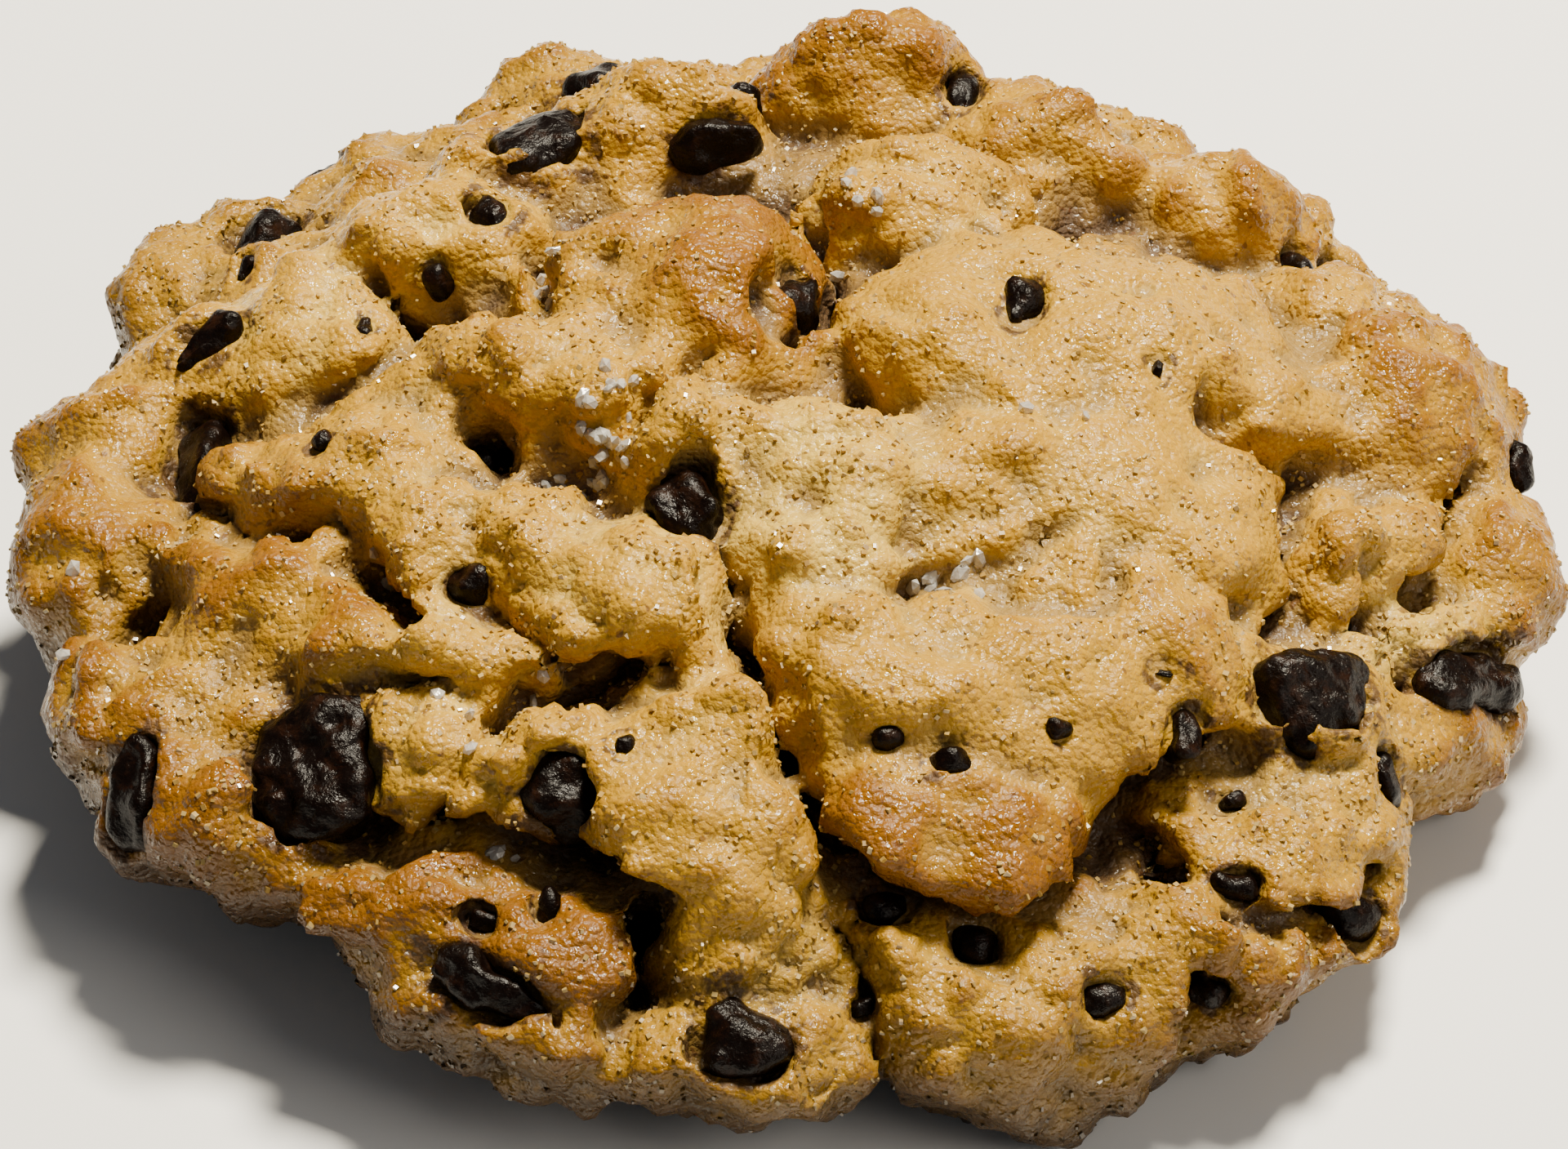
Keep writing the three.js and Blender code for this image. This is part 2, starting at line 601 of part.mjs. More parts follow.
function chipPlaces() {
  const upright = CHIPS.map(([azimuth, polar, length, width, thickness, turn, show, corners]) => {
    const point = skinPoint(azimuth, polar);
    const matrix = featureMatrix(point, domeNormal(point), turn, show - thickness);
    return { halfSizes: [length, width, thickness], corners, matrix };
  });
  const under = BASE_CHIPS.map(([x, y, length, width, turn]) => {
    const matrix = new THREE.Matrix4().makeRotationZ(THREE.MathUtils.degToRad(turn));
    matrix.setPosition(x, y, BASE_CHIP_HEIGHT);
    return { halfSizes: [length, width, BASE_CHIP_THICKNESS], corners: 0, matrix };
  });
  return [...upright, ...under];
}

// Flat grains of salt that lie in the dough's skin, kept clear of the chips
function saltFlake(azimuth, polar, random) {
  const sideways = (FLAKE_SPREAD * (random() - 0.5)) / Math.sin(THREE.MathUtils.degToRad(polar));
  const point = skinPoint(azimuth + sideways, polar + FLAKE_SPREAD * (random() - 0.5));
  const matrix = featureMatrix(point, domeNormal(point), 360 * random(), FLAKE_RISE);
  const size = FLAKE_SMALLEST + FLAKE_SIZE_RANGE * random();
  const tilt = FLAKE_TILT_RANGE * (random() - 0.5);
  const plate = new THREE.CylinderGeometry(FLAKE_RADIUS, FLAKE_RADIUS, FLAKE_THICKNESS, FLAKE_SIDES);
  plate.rotateX(Math.PI / 2 + tilt).scale(size, size, size).applyMatrix4(matrix);
  return { point, plate };
}

function saltFlakes(chips) {
  const random = seeded(FLAKE_SEED);
  const flakes = [];
  for (const [azimuth, polar, count] of SALT) {
    for (let flake = 0; flake < count; flake++) {
      const { point, plate } = saltFlake(azimuth, polar, random);
      const clear = chips.every(({ matrix, halfSizes }) => {
        const away = new THREE.Vector3().setFromMatrixPosition(matrix).distanceTo(point);
        return away > Math.max(...halfSizes) + 2 * FLAKE_RADIUS;
      });
      if (clear) {
        flakes.push(toSolid(plate));
      }
    }
  }
  return flakes;
}

function namedMesh(name, solid, material) {
  const mesh = new THREE.Mesh(toGeometry(solid), material);
  mesh.name = name;
  return mesh;
}

const doughMaterial = new THREE.MeshStandardMaterial({
  color: DOUGH_COLOUR,
  roughness: 0.7,
  metalness: 0,
});
const chocolateMaterial = new THREE.MeshStandardMaterial({
  color: CHOCOLATE_COLOUR,
  roughness: 0.4,
  metalness: 0,
});

const above = aboveBase();
const chips = chipPlaces();
const chipSolid = ({ halfSizes, corners, matrix }, index, grow) =>
  toSolid(chipGeometry(halfSizes, corners, CHIP_SEED + index, matrix, grow));

let dough = toSolid(skin.geometry).intersect(above);
for (const flake of saltFlakes(chips)) {
  dough = dough.add(flake);
}
chips.forEach((chip, index) => {
  dough = dough.subtract(chipSolid(chip, index, POCKET_GAP));
});
// Scraps cut loose by a pocket are dropped
const largest = dough.decompose().reduce((best, piece) => (piece.volume() > best.volume() ? piece : best));

const cookie = new THREE.Group();
cookie.add(namedMesh("dough", largest, doughMaterial));
chips.forEach((chip, index) => {
  const name = `chip_${String(index + 1).padStart(2, "0")}`;
  cookie.add(namedMesh(name, chipSolid(chip, index, 0).intersect(above), chocolateMaterial));
});

export default cookie;
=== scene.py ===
import itertools
import math

import bmesh
import bpy
import numpy as np
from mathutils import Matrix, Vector
from mathutils.bvhtree import BVHTree


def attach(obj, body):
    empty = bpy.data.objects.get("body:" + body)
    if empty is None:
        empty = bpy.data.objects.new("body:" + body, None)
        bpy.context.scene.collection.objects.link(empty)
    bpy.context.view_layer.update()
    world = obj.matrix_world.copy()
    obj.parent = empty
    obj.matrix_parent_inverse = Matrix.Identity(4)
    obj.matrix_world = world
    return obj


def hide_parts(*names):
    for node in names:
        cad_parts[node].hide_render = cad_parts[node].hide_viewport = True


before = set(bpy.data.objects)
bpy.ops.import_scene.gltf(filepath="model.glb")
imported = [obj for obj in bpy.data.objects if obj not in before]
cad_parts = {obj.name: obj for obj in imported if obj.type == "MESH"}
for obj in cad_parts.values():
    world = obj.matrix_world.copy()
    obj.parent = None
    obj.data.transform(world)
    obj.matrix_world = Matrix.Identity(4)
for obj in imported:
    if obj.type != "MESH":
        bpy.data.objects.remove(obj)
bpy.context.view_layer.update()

# The chocolate chips. Dark baking chips that went soft in the oven and set again with a rough,
# half-glossy skin. Each is a finer copy of the frame's chip, and all of them are one piece.
MM = 0.001
CHIP_NODES = sorted(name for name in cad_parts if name.startswith("chip_"))
# Steps of rounding, one fewer for a chip up to this long
CHIP_LEVELS = 3
SMALL_CHIP = 6.8
# How square a chip is, and its lumps: size and height of each kind, and how far they sink
CHIP_POWER = 2.8
CHIP_LUMPS = [(2.8, 0.6), (1.3, 0.35), (0.7, 0.12)]
CHIP_LUMP_SINK = 0.3
CHIP_SEED = 60
MERGE_DISTANCE = 1e-6
# A chip that the base cuts flush is drawn out below it and pressed flat just above the floor
BASE_STRETCH = 0.7
BASE_CLEARANCE = 0.01

CHOCOLATE_DARK = (0.0025, 0.0009, 0.0004, 1)
CHOCOLATE_BLOOM = (0.014, 0.005, 0.002, 1)
BLOOM_SIZE = 1.2
BLOOM_RANGE = (0.48, 0.72)
CHOCOLATE_GLOSS = 0.1
CHOCOLATE_DULLNESS = 0.42
DULL_PATCHES = 0.8
CHIP_GRAIN = 0.7
CHIP_GRAIN_HEIGHT = 0.22 * MM
# The scatter of the frame's noise: a wave number for each way and one for the seed
LATTICE_WAVES = (12.9898, 78.233, 37.719, 4.137)
LATTICE_SCALE = 43758.5453


def lattice(i, j, k, seed):
    """A scattered number from 0 to 1 for each corner of a unit lattice."""
    across, along, up, by_seed = LATTICE_WAVES
    wave = np.sin(i * across + j * along + k * up + seed * by_seed) * LATTICE_SCALE
    return wave - np.floor(wave)


def noise(points, size, seed):
    """Value noise between -1 and 1, with lumps of the given size, as the frame's dough has it."""
    scaled = points / size
    cell = np.floor(scaled)
    part = scaled - cell
    fade = part * part * (3 - 2 * part)
    total = 0.0
    for corner in range(8):
        step = (corner & 1, corner >> 1 & 1, corner >> 2)
        weight = 1.0
        for axis in range(3):
            weight = weight * (fade[:, axis] if step[axis] else 1 - fade[:, axis])
        corner_cell = [cell[:, axis] + step[axis] for axis in range(3)]
        total = total + weight * lattice(*corner_cell, seed)
    return 2 * total - 1


def mesh_points(mesh):
    flat = np.empty(3 * len(mesh.vertices))
    mesh.vertices.foreach_get("co", flat)
    return flat.reshape(-1, 3) / MM


def point_normals(mesh):
    flat = np.empty(3 * len(mesh.vertices))
    mesh.vertex_normals.foreach_get("vector", flat)
    return flat.reshape(-1, 3)


def set_points(mesh, points):
    mesh.vertices.foreach_set("co", (points * MM).ravel())
    mesh.update()


def shade_smooth(mesh):
    mesh.polygons.foreach_set("use_smooth", np.ones(len(mesh.polygons), bool))


def new_object(name, mesh):
    made = bpy.data.objects.new(name, mesh)
    bpy.context.scene.collection.objects.link(made)
    return made


def applied(thing):
    """The object's mesh with its modifiers done, kept on the same object."""
    bpy.context.view_layer.update()
    seen = thing.evaluated_get(bpy.context.evaluated_depsgraph_get())
    done = bpy.data.meshes.new_from_object(seen)
    thing.modifiers.clear()
    done.name = thing.name
    thing.data = done
    return done


def squared_up(points):
    """Pushes a rounded lump out towards the corners of its own long, middle and short axes."""
    centre = points.mean(0)
    spread, axes = np.linalg.eigh(np.cov((points - centre).T))
    local = (points - centre) @ axes / np.sqrt(3 * spread)
    level = (np.abs(local) ** CHIP_POWER).sum(1) ** (1 / CHIP_POWER)
    fuller = np.linalg.norm(local, axis=1) / level
    return centre + (points - centre) * fuller[:, None]


def finer_chip(node, seed):
    """A rounded, lumpy copy of a chip, stretched back to the size of the frame's chip."""
    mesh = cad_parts[node].data.copy()
    merged = bmesh.new()
    merged.from_mesh(mesh)
    bmesh.ops.remove_doubles(merged, verts=merged.verts, dist=MERGE_DISTANCE)
    merged.to_mesh(mesh)
    merged.free()
    coarse = mesh_points(mesh)
    chip = new_object(node + "_fine", mesh)
    rounding = chip.modifiers.new("rounding", "SUBSURF")
    levels = CHIP_LEVELS if np.ptp(coarse, axis=0).max() > SMALL_CHIP else CHIP_LEVELS - 1
    rounding.levels = levels
    rounding.render_levels = levels
    fine = applied(chip)
    points = mesh_points(fine)
    low, high = coarse.min(0), coarse.max(0)
    if low[2] < BASE_CLEARANCE:
        low[2] -= BASE_STRETCH
    points = squared_up(points)
    share = (points - points.min(0)) / np.ptp(points, axis=0)
    points = low + share * (high - low)
    set_points(fine, points)
    out = point_normals(fine)
    for size, height in CHIP_LUMPS:
        lift = height * noise(points, size, seed) - CHIP_LUMP_SINK * height
        points = points + out * lift[:, None]
    points[:, 2] = np.maximum(points[:, 2], BASE_CLEARANCE)
    set_points(fine, points)
    shade_smooth(fine)
    return chip, coarse


class Wire:
    """An output of a shader node. Sums, products and the like of it add their Math nodes."""

    def __init__(self, tree, socket=None):
        self.tree = tree
        self.socket = socket

    def node(self, kind, settings=None, sockets=None, output=0):
        """Adds any node: its settings first, then the values or wires of its sockets."""
        made = self.tree.nodes.new(kind)
        for name, value in (settings or {}).items():
            setattr(made, name, value)
        for name, value in (sockets or {}).items():
            if isinstance(value, Wire):
                self.tree.links.new(value.socket, made.inputs[name])
            else:
                made.inputs[name].default_value = value
        return Wire(self.tree, made.outputs[output])

    def maths(self, operation, first, second):
        return self.node("ShaderNodeMath", {"operation": operation}, {0: first, 1: second})

    def __add__(self, other):
        return self.maths("ADD", self, other)

    def __radd__(self, other):
        return self.maths("ADD", other, self)

    def __sub__(self, other):
        return self.maths("SUBTRACT", self, other)

    def __rsub__(self, other):
        return self.maths("SUBTRACT", other, self)

    def __mul__(self, other):
        return self.maths("MULTIPLY", self, other)

    def __rmul__(self, other):
        return self.maths("MULTIPLY", other, self)

    def ramped(self, low, high):
        """0 at or below low, 1 at or above high, smooth between."""
        settings = {"interpolation_type": "SMOOTHSTEP"}
        return self.node("ShaderNodeMapRange", settings, {0: self, 1: low, 2: high})

    def blend(self, low, high):
        """Colour low where this is 0, high where it is 1."""
        settings = {"data_type": "RGBA"}
        return self.node("ShaderNodeMix", settings, {0: self, 6: low, 7: high}, output=2)


def new_material(name, constants):
    """A material, its main shader with the given constants set, and a wire to build on."""
    material = bpy.data.materials.new(name)
    material.use_nodes = True
    shader = material.node_tree.nodes["Principled BSDF"]
    for socket, value in constants.items():
        shader.inputs[socket].default_value = value
    return material, shader, Wire(material.node_tree)


def plug(wire, shader, socket):
    wire.tree.links.new(wire.socket, shader.inputs[socket])


def grain(wire, place, size, detail=2.0, roughness=0.5):
    """Noise over the object, in lumps of the given size in millimetres."""
    values = {"Vector": place, "Scale": 1 / (size * MM), "Detail": detail, "Roughness": roughness}
    return wire.node("ShaderNodeTexNoise", None, values)


def bumped(wire, shader, height, distance, strength=1.0):
    """Relief on the shader's surface: the height wire, times the distance in metres."""
    values = {"Strength": strength, "Distance": distance, "Height": height}
    plug(wire.node("ShaderNodeBump", None, values), shader, "Normal")


def chocolate_material():
    material, shader, wire = new_material("dark_chocolate", {"Specular IOR Level": 0.13})
    place = wire.node("ShaderNodeTexCoord", output=3)
    bloom = grain(wire, place, BLOOM_SIZE, 4.0, 0.65).ramped(*BLOOM_RANGE)
    plug(bloom.blend(CHOCOLATE_DARK, CHOCOLATE_BLOOM), shader, "Base Color")
    dullness = CHOCOLATE_DULLNESS * grain(wire, place, DULL_PATCHES, 3.0)
    plug(CHOCOLATE_GLOSS + dullness, shader, "Roughness")
    bumped(wire, shader, grain(wire, place, CHIP_GRAIN, 4.0, 0.6), CHIP_GRAIN_HEIGHT)
    return material


chip_seats = []
chip_copies = []
for number, node in enumerate(CHIP_NODES):
    copy, coarse = finer_chip(node, CHIP_SEED + number)
    centre = coarse.mean(0)
    # The chip as an ellipsoid: vertices spread over one have a third of its half size squared
    spread = np.linalg.inv(3 * np.cov((coarse - centre).T))
    chip_seats.append((centre, spread, float(np.ptp(coarse, axis=0).max()) / 2))
    chip_copies.append(copy)

joined = bmesh.new()
for copy in chip_copies:
    joined.from_mesh(copy.data)
    bpy.data.objects.remove(copy)
chip_mesh = bpy.data.meshes.new("chocolate_chips")
joined.to_mesh(chip_mesh)
joined.free()
shade_smooth(chip_mesh)
chip_mesh.materials.append(chocolate_material())
chocolate_chips = new_object("chocolate_chips", chip_mesh)
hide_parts(*CHIP_NODES)
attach(chocolate_chips, "root")

# The dough. A thick ball of cookie dough that spread a little as it baked: its skin browned and
# tore into lobes, plates and lips, with moist crumb in the cracks. The cracks, hollows and low
# walls are darkened with painted shade as well. It is worked out as a distance field on a fine
# grid from the same features as the frame's dough, then skinned.
RADIUS = 46.0
RING_HEIGHT = 7.0
RISE = 18.5
FALL = 16.0
POWER_ACROSS = 2.2
POWER_UP = 1.4
CORE_INSET = 3.4
LOBE_SPREAD = 1.16
MELT = 0.42
SIGHT = np.array([0.0, 0.0, -15.0])
# Least values, the reach of the dome's distance, and a distance far off any skin
TINY = 1e-9
LEAST_HEIGHT = 1e-6
LEAST_SLOPE = 0.015
DOME_REACH = 12
FAR_OFF = 9.0
# Where on a sight line the dome is looked for, how often that is halved, and a small step
SEARCH_LIMITS = (5.0, 80.0)
HALVINGS = 40
NUDGE = 0.01
# Cells of the grid, its box, and the heights off the dome that the field is worked out in
CELL = 0.55
GRID_LOW = np.array([-49.0, -50.0, -1.5])
GRID_HIGH = np.array([50.0, 50.0, 32.0])
FIELD_LOW = -9
FIELD_HIGH = 7
# How far around a thing its field is worked out
LOBE_MARGIN = 3.5
BLEND_MARGIN = 5
CRACK_MARGIN = 3
HOLLOW_MARGIN = 2
WELL_MARGIN = 5
CHIP_MARGIN = 4
MELT_LIMITS = (-8, 20)
# Lumps: size, height, seed. Swirls: size, push, seed. Puffs: size, height
LUMPS = [(5.0, 0.42, 22), (2.6, 0.3, 23)]
LUMP_SWELL = 2.4
LUMP_CREASE = 0.3
SWIRLS = [(4.2, 0.9, 1), (1.7, 0.45, 10)]
PUFFS = [(4.6, 0.8), (2.3, 0.5), (1.1, 0.26)]
PUFF_SEED = 35
PUFF_TOP = 0.56
PUFF_STEEPNESS = 2
PUFF_EDGE = 0.8
PUFF_LEAST = 0.1
PUFF_BY_CRUMB = 1.15

# Lobes: azimuth and polar in degrees seen from under the base, half length, half width, half
# thickness, turn, rise above the dome, toast from -1 pale to 1 browned, crumb from 0 to 1
LOBES = [
    (135, 34, 5.8, 3.6, 5.0, 15, 0.9, 0.3, 0.5),
    (111, 31, 6.2, 3.4, 5.0, 15, 1.9, 0.3, 0.5),
    (78, 38, 6.2, 4.8, 6.5, -20, 3.4, 0.8, 0.4),
    (53, 36.5, 6.3, 4.4, 5.5, -15, 1.4, 0.5, 0.4),
    (57, 21, 6.4, 4.0, 4.5, -38, 0.8, 0.1, 0.6),
    (33, 45, 5.8, 3.7, 5.5, -70, 1.7, 0.6, 0.3),
    (15, 48.5, 5.2, 4.5, 4.5, 15, 1.2, 0.3, 0.4),
    (2, 52, 7.5, 6.0, 6.0, 66, 3.2, 0.7, 0.3),
    (340.5, 48.5, 6.8, 3.0, 4.0, 33, 0.6, 0.2, 0.7),
    (349, 59, 5.8, 4.2, 5.5, -15, 2.0, 0.7, 0.4),
    (334, 61.5, 6.6, 3.8, 5.0, 32, 0.0, 0.6, 0.4),
    (337, 55.5, 4.7, 2.4, 3.5, 33, 0.2, -0.8, 0.8),
    (156, 33.5, 7.3, 4.2, 5.0, 55, 1.3, -0.1, 0.5),
    (171, 41.5, 6.1, 5.1, 5.0, 80, 0.9, -0.3, 0.4),
    (174, 49, 5.6, 4.4, 5.0, 60, 1.4, 0.4, 0.4),
    (179, 55, 5.4, 4.6, 5.5, -40, 2.2, 0.6, 0.3),
    (192, 57, 6.4, 4.9, 6.0, 10, 3.2, 0.8, 0.3),
    (209.5, 58.5, 5.8, 4.2, 5.0, -10, 3.6, 0.8, 0.4),
    (221, 59.5, 7.6, 3.8, 6.0, -18, 3.0, 0.9, 0.5),
    (161.5, 7, 7.3, 6.8, 6.0, -80, 2.1, 0.9, 0.3),
    (168.5, 16.5, 5.4, 4.0, 4.5, -15, 0.8, 0.3, 0.4),
    (196.5, 24, 7.2, 4.1, 4.5, -73, 1.0, 0.3, 0.6),
    (218, 17, 4.2, 3.2, 4.0, -27, 0.8, 0.1, 0.7),
    (246.5, 18, 3.9, 3.7, 4.0, 70, 1.0, -0.1, 0.8),
    (279.5, 23, 7.2, 4.8, 5.0, -78, 1.0, -0.7, 0.5),
    (199.5, 42, 7.3, 3.7, 5.0, -34, 1.0, 0.6, 0.6),
    (200, 35, 4.8, 3.7, 4.0, -39, 0.6, 0.1, 0.7),
    (210.5, 47.5, 7.3, 3.8, 5.5, -28, 1.4, 0.9, 0.4),
    (221.5, 45, 5.1, 3.4, 5.0, 0, 1.0, 0.6, 0.5),
    (212, 53.5, 6.1, 3.5, 5.0, -20, 0.6, 0.4, 0.6),
    (235.5, 49, 4.8, 4.0, 4.5, 12, 0.4, -0.4, 0.8),
    (215.5, 35, 5.3, 3.2, 4.0, -16, 0.6, 0.0, 0.8),
    (249.5, 32.5, 5.7, 4.3, 5.0, 25, 1.6, -0.3, 0.6),
    (231.5, 31.5, 4.4, 3.0, 4.0, 3, 0.8, 0.1, 0.8),
    (245.5, 38.5, 3.8, 2.2, 3.5, -4, 0.4, 0.1, 0.9),
    (231.5, 41, 4.4, 2.9, 4.0, 3, 0.4, -0.2, 0.9),
    (354, 26, 12.6, 9.5, 6.5, 83, 1.8, 0.2, 0.2),
    (320.5, 30, 12.2, 7.2, 6.0, 53, 0.6, 0.1, 0.3),
    (290, 40.5, 10.4, 6.6, 6.5, 20, 1.2, 0.1, 0.3),
    (284.5, 50.5, 7.4, 5.2, 6.0, 17, 1.6, 1.1, 0.3),
    (309.5, 43.5, 7.5, 6.7, 6.0, -9, 1.0, 0.4, 0.4),
    (276, 35.5, 3.8, 3.6, 4.5, -74, 0.8, 0.2, 0.4),
    (263.5, 48.5, 6.7, 5.6, 6.0, 20, 1.6, 0.2, 0.5),
    (247.5, 46.5, 5.2, 3.6, 5.0, -26, 1.0, 0.0, 0.8),
    (263, 40.5, 3.4, 2.4, 4.0, 20, 0.6, 0.1, 0.6),
    (240.5, 57.5, 7.2, 2.8, 4.5, -10, 1.8, 1.2, 0.5),
    (248, 62, 7.8, 3.7, 5.5, 3, 0.9, 0.4, 0.6),
    (254.5, 57.5, 4.3, 2.7, 4.5, 5, 1.6, 1.3, 0.3),
    (254, 63, 5.4, 2.6, 4.5, -4, 1.8, 0.4, 0.6),
    (267, 56.5, 4.8, 2.7, 4.5, -2, 0.2, -0.2, 1.0),
    (268, 63.5, 6.6, 2.6, 5.0, -2, 2.4, 0.2, 0.9),
    (280, 57.5, 4.2, 2.7, 4.5, 7, 0.4, -0.2, 1.0),
    (287, 64, 8.9, 4.9, 6.0, 16, 1.5, 0.3, 0.6),
    (296.5, 66.5, 4.8, 4.0, 4.5, -77, 2.4, 0.4, 0.6),
    (297.5, 59, 5.1, 3.3, 4.5, 6, 1.0, 0.3, 0.9),
    (312, 59, 7.8, 4.3, 6.0, 11, 1.6, 0.1, 0.6),
    (320, 54, 5.7, 4.7, 5.0, 23, 0.8, -0.1, 0.7),
    (304, 66.5, 6.5, 5.9, 5.5, -65, 2.4, 0.6, 0.5),
    (312.5, 64.5, 4.8, 3.2, 4.5, 49, 2.0, 0.5, 0.6),
]
# Lobes on the side turned away, in rows: polar, spacing, half length, half width, rise
FAR_ROWS = [
    (51, 15, 6.0, 4.4, -2.3),
    (61, 14, 6.4, 4.6, -2.0),
    (67, 16, 6.6, 3.8, 0.2),
]
FAR_FROM = 12
FAR_TO = 168
FAR_SEED = 5
DRAW_STEP = 0x6D2B79F5
WORD = 0xFFFFFFFF
FAR_START = 0.5
FAR_SIZE_LEAST = 0.85
FAR_SIZE_SPREAD = 0.3
# Of azimuth, polar and turn
FAR_SPREADS = (5, 4, 50)
FAR_THICKNESS = 5.0
FAR_TOAST = 0.35
FAR_CRUMB = 0.5
# Cracks: height of the axis point that each leans to, half width, depth, places it runs through.
# Those that lean to a high point run in flat, under a lip.
CRACKS = [
    (8, 0.9, 7, [(232, 58), (237, 57), (243, 55.5), (254.5, 55.5), (260, 56)]),
    (8, 1.1, 8, [(273.5, 53.5), (282, 56.5), (287, 58.5), (292, 57.5), (299, 57), (305, 55), (313, 54)]),
    (-15, 0.7, 7, [(260.5, 30.5), (262, 34.5), (266.5, 37), (269, 40), (271, 44), (272.5, 50)]),
    (-15, 0.6, 6, [(193.5, 50), (206.5, 43.5), (208.5, 41), (217, 41), (227, 42)]),
    (-15, 0.7, 6, [(254.5, 38), (250, 40), (245, 42), (241.5, 44), (240, 47), (239.5, 52.5)]),
    (-15, 0.15, 2, [(289, 31.5), (298, 31.5), (306, 31.5), (312.5, 33)]),
    (-15, 0.7, 7, [(343.5, 34), (344, 39.5), (347, 45), (334, 46), (330.5, 47.5), (326.5, 48.5)]),
    (-15, 0.4, 3, [(309.5, 10), (310.5, 13), (311.5, 15.5)]),
    (-15, 0.5, 5, [(42, 24.5), (37, 27), (40, 34), (37, 38.5)]),
    (-15, 0.9, 7, [(118, 25), (106, 25), (94.5, 24), (79.5, 16), (73.5, 13.5)]),
    (-15, 0.8, 6, [(73.5, 13.5), (59, 12), (343.5, 3.5), (270, 4)]),
    (-15, 0.5, 5, [(164.5, 37), (166, 35.5), (170, 33.5), (167.5, 31)]),
    (-15, 0.6, 5, [(151, 24.5), (171, 20.5), (188.5, 22.5)]),
    (-15, 0.6, 6, [(336.5, 49.5), (333.5, 53), (332, 57.5)]),
    (4, 0.8, 5, [(303, 61), (300, 62.5), (297, 65.5)]),
    (4, 0.7, 5, [(302, 58), (304.5, 60.5), (310.5, 62.5), (317, 63)]),
    (-15, 0.5, 5, [(340, 53.5), (347.5, 55), (354, 55)]),
    (-5, 0.5, 3, [(275.5, 58), (276.5, 61.5), (277.5, 66)]),
    (-5, 0.8, 5, [(259.5, 55.5), (258.5, 62.5)]),
    (-15, 0.5, 5, [(227, 46.5), (231, 44.5), (236.5, 45.5)]),
    (-15, 0.5, 4, [(207.5, 58.5), (202.5, 56), (201.5, 53.5)]),
    (-15, 0.5, 5, [(203, 29), (209, 29.5), (207, 27.5)]),
    (-15, 0.5, 5, [(232.5, 38.5), (239.5, 39), (245, 40.5)]),
    (-15, 0.4, 4, [(233.5, 20), (230, 15.5), (227.5, 11)]),
    (-15, 0.4, 4, [(151, 49.5), (167.5, 42.5)]),
    (-15, 0.6, 4, [(120, 50), (114, 56), (117, 61)]),
    (-15, 0.6, 4, [(95, 50), (88, 57), (74, 59)]),
    (-15, 0.6, 4, [(52, 48), (47, 55), (50, 64)]),
]
CRACK_RISE = 1.5
CRACK_BEVEL = 0.65
CRACK_BEVEL_DEPTH = 0.7
CRACK_BEVEL_LIMITS = (-1, 9)
CRACK_WIDENING = 1.25
# Ragged edges: size, share, seed of each noise
CRACK_RAGS = [(2.2, 0.7, 41), (1.0, 0.5, 42)]
CLOSED = -1.0
# Hollows: azimuth, polar, half length, half width, half depth, turn, rise of the centre
HOLLOWS = [
    (262.5, 3, 3.4, 2.2, 2.6, 80, 0.5),
    (165, 35.5, 1.8, 1.4, 3.0, -20, 0.5),
    (253, 24.5, 2.9, 2.2, 1.8, -85, 0.3),
    (347, 46.5, 3.0, 2.0, 3.0, 5, 0.3),
    (254.5, 38, 1.9, 1.6, 3.4, 70, 0.5),
]
# The skin is open over each chip, out to about this share of its half size
WELL_SHARE = 0.84
WELL_RAGGED = 0.42
WELL_WIDEST = 0.98
WELL_RAGS = [(1.7, 1, 31), (0.8, 0.5, 32)]
# Chips lower than this open downwards, in the base
BASE_CHIP_HEIGHT = 3
# Smears reach this share of a chip's half size, and the skin is calm out to this distance
SMEAR_SHARE = 0.45
SMEAR_RAGS = [(1.3, 0.8, 51)]
SMEAR_LEAST = 0.05
CHIP_CALM = 1.3
# Toast and crumb fade from lobe to lobe over this distance
BLEND_WIDTH = 0.9
BLEND_LIMITS = (-2, 8)
BLEND_FLOOR = 0.02
BLEND_CRUMB = 0.5
SKIN_SOFTENING = 0.5
# Hollows and valleys show against the skin averaged this often, at about these depths
HOLLOW_STEPS = 14
HOLLOW_DEPTH = 0.55
VALLEY_STEPS = 70
VALLEY_LIFT = 0.1
VALLEY_DEPTH = 1.4
VALLEY_LEAST = -0.6
# Depth counts from here below the lobes, or from here below the dome, to this much more
BELOW_LOBES = 0.5
BELOW_DOME = 1.4
DEPTH_SPAN = 3.0
# Sugar lies in patches, more in hollows, and none lower than this
SUGAR_PATCHES = [(4.0, 0.5, 61), (1.6, 0.5, 62)]
SUGAR_EVEN = 0.5
SUGAR_LEAST = 0.1
SUGAR_BY_HOLLOW = 0.7
SUGAR_LOWEST = 1.2
# The rim is browned and darkened with painted shade up to this height, less where it faces up,
# and most at this azimuth, on the side where the shade falls
RIM_HEIGHT = 18.0
RIM_FACING_UP = 0.7
RIM_DARKEST = 205
RIM_EVEN = 0.6
RIM_UNEVEN = 0.4
RIM_STRENGTH = 1.9
RIM_MOST = 0.96
# What lies lower than this is the flat base
BASE_LIMIT = 0.02
BASE_ANGLE = 0.01

DOUGH_PALE = (0.56, 0.375, 0.060, 1)
DOUGH_GOLD = (0.40, 0.215, 0.011, 1)
DOUGH_TOASTED = (0.19, 0.072, 0.0015, 1)
# Browned rim, darkened further with painted shade on the low walls
DOUGH_RIM_BROWN_AND_SHADE = (0.030, 0.015, 0.005, 1)
# Moist crumb in hollows, valleys and low places, darker than the skin partly as painted shade
DOUGH_MOIST_AND_SHADE = (0.20, 0.12, 0.036, 1)
# Painted shade for the deepest cracks and hollows, where little light reaches
DOUGH_PAINTED_SHADE = (0.085, 0.050, 0.024, 1)
SMEAR_BROWN = (0.040, 0.016, 0.007, 1)
FLECK_BROWN = (0.10, 0.036, 0.012, 1)
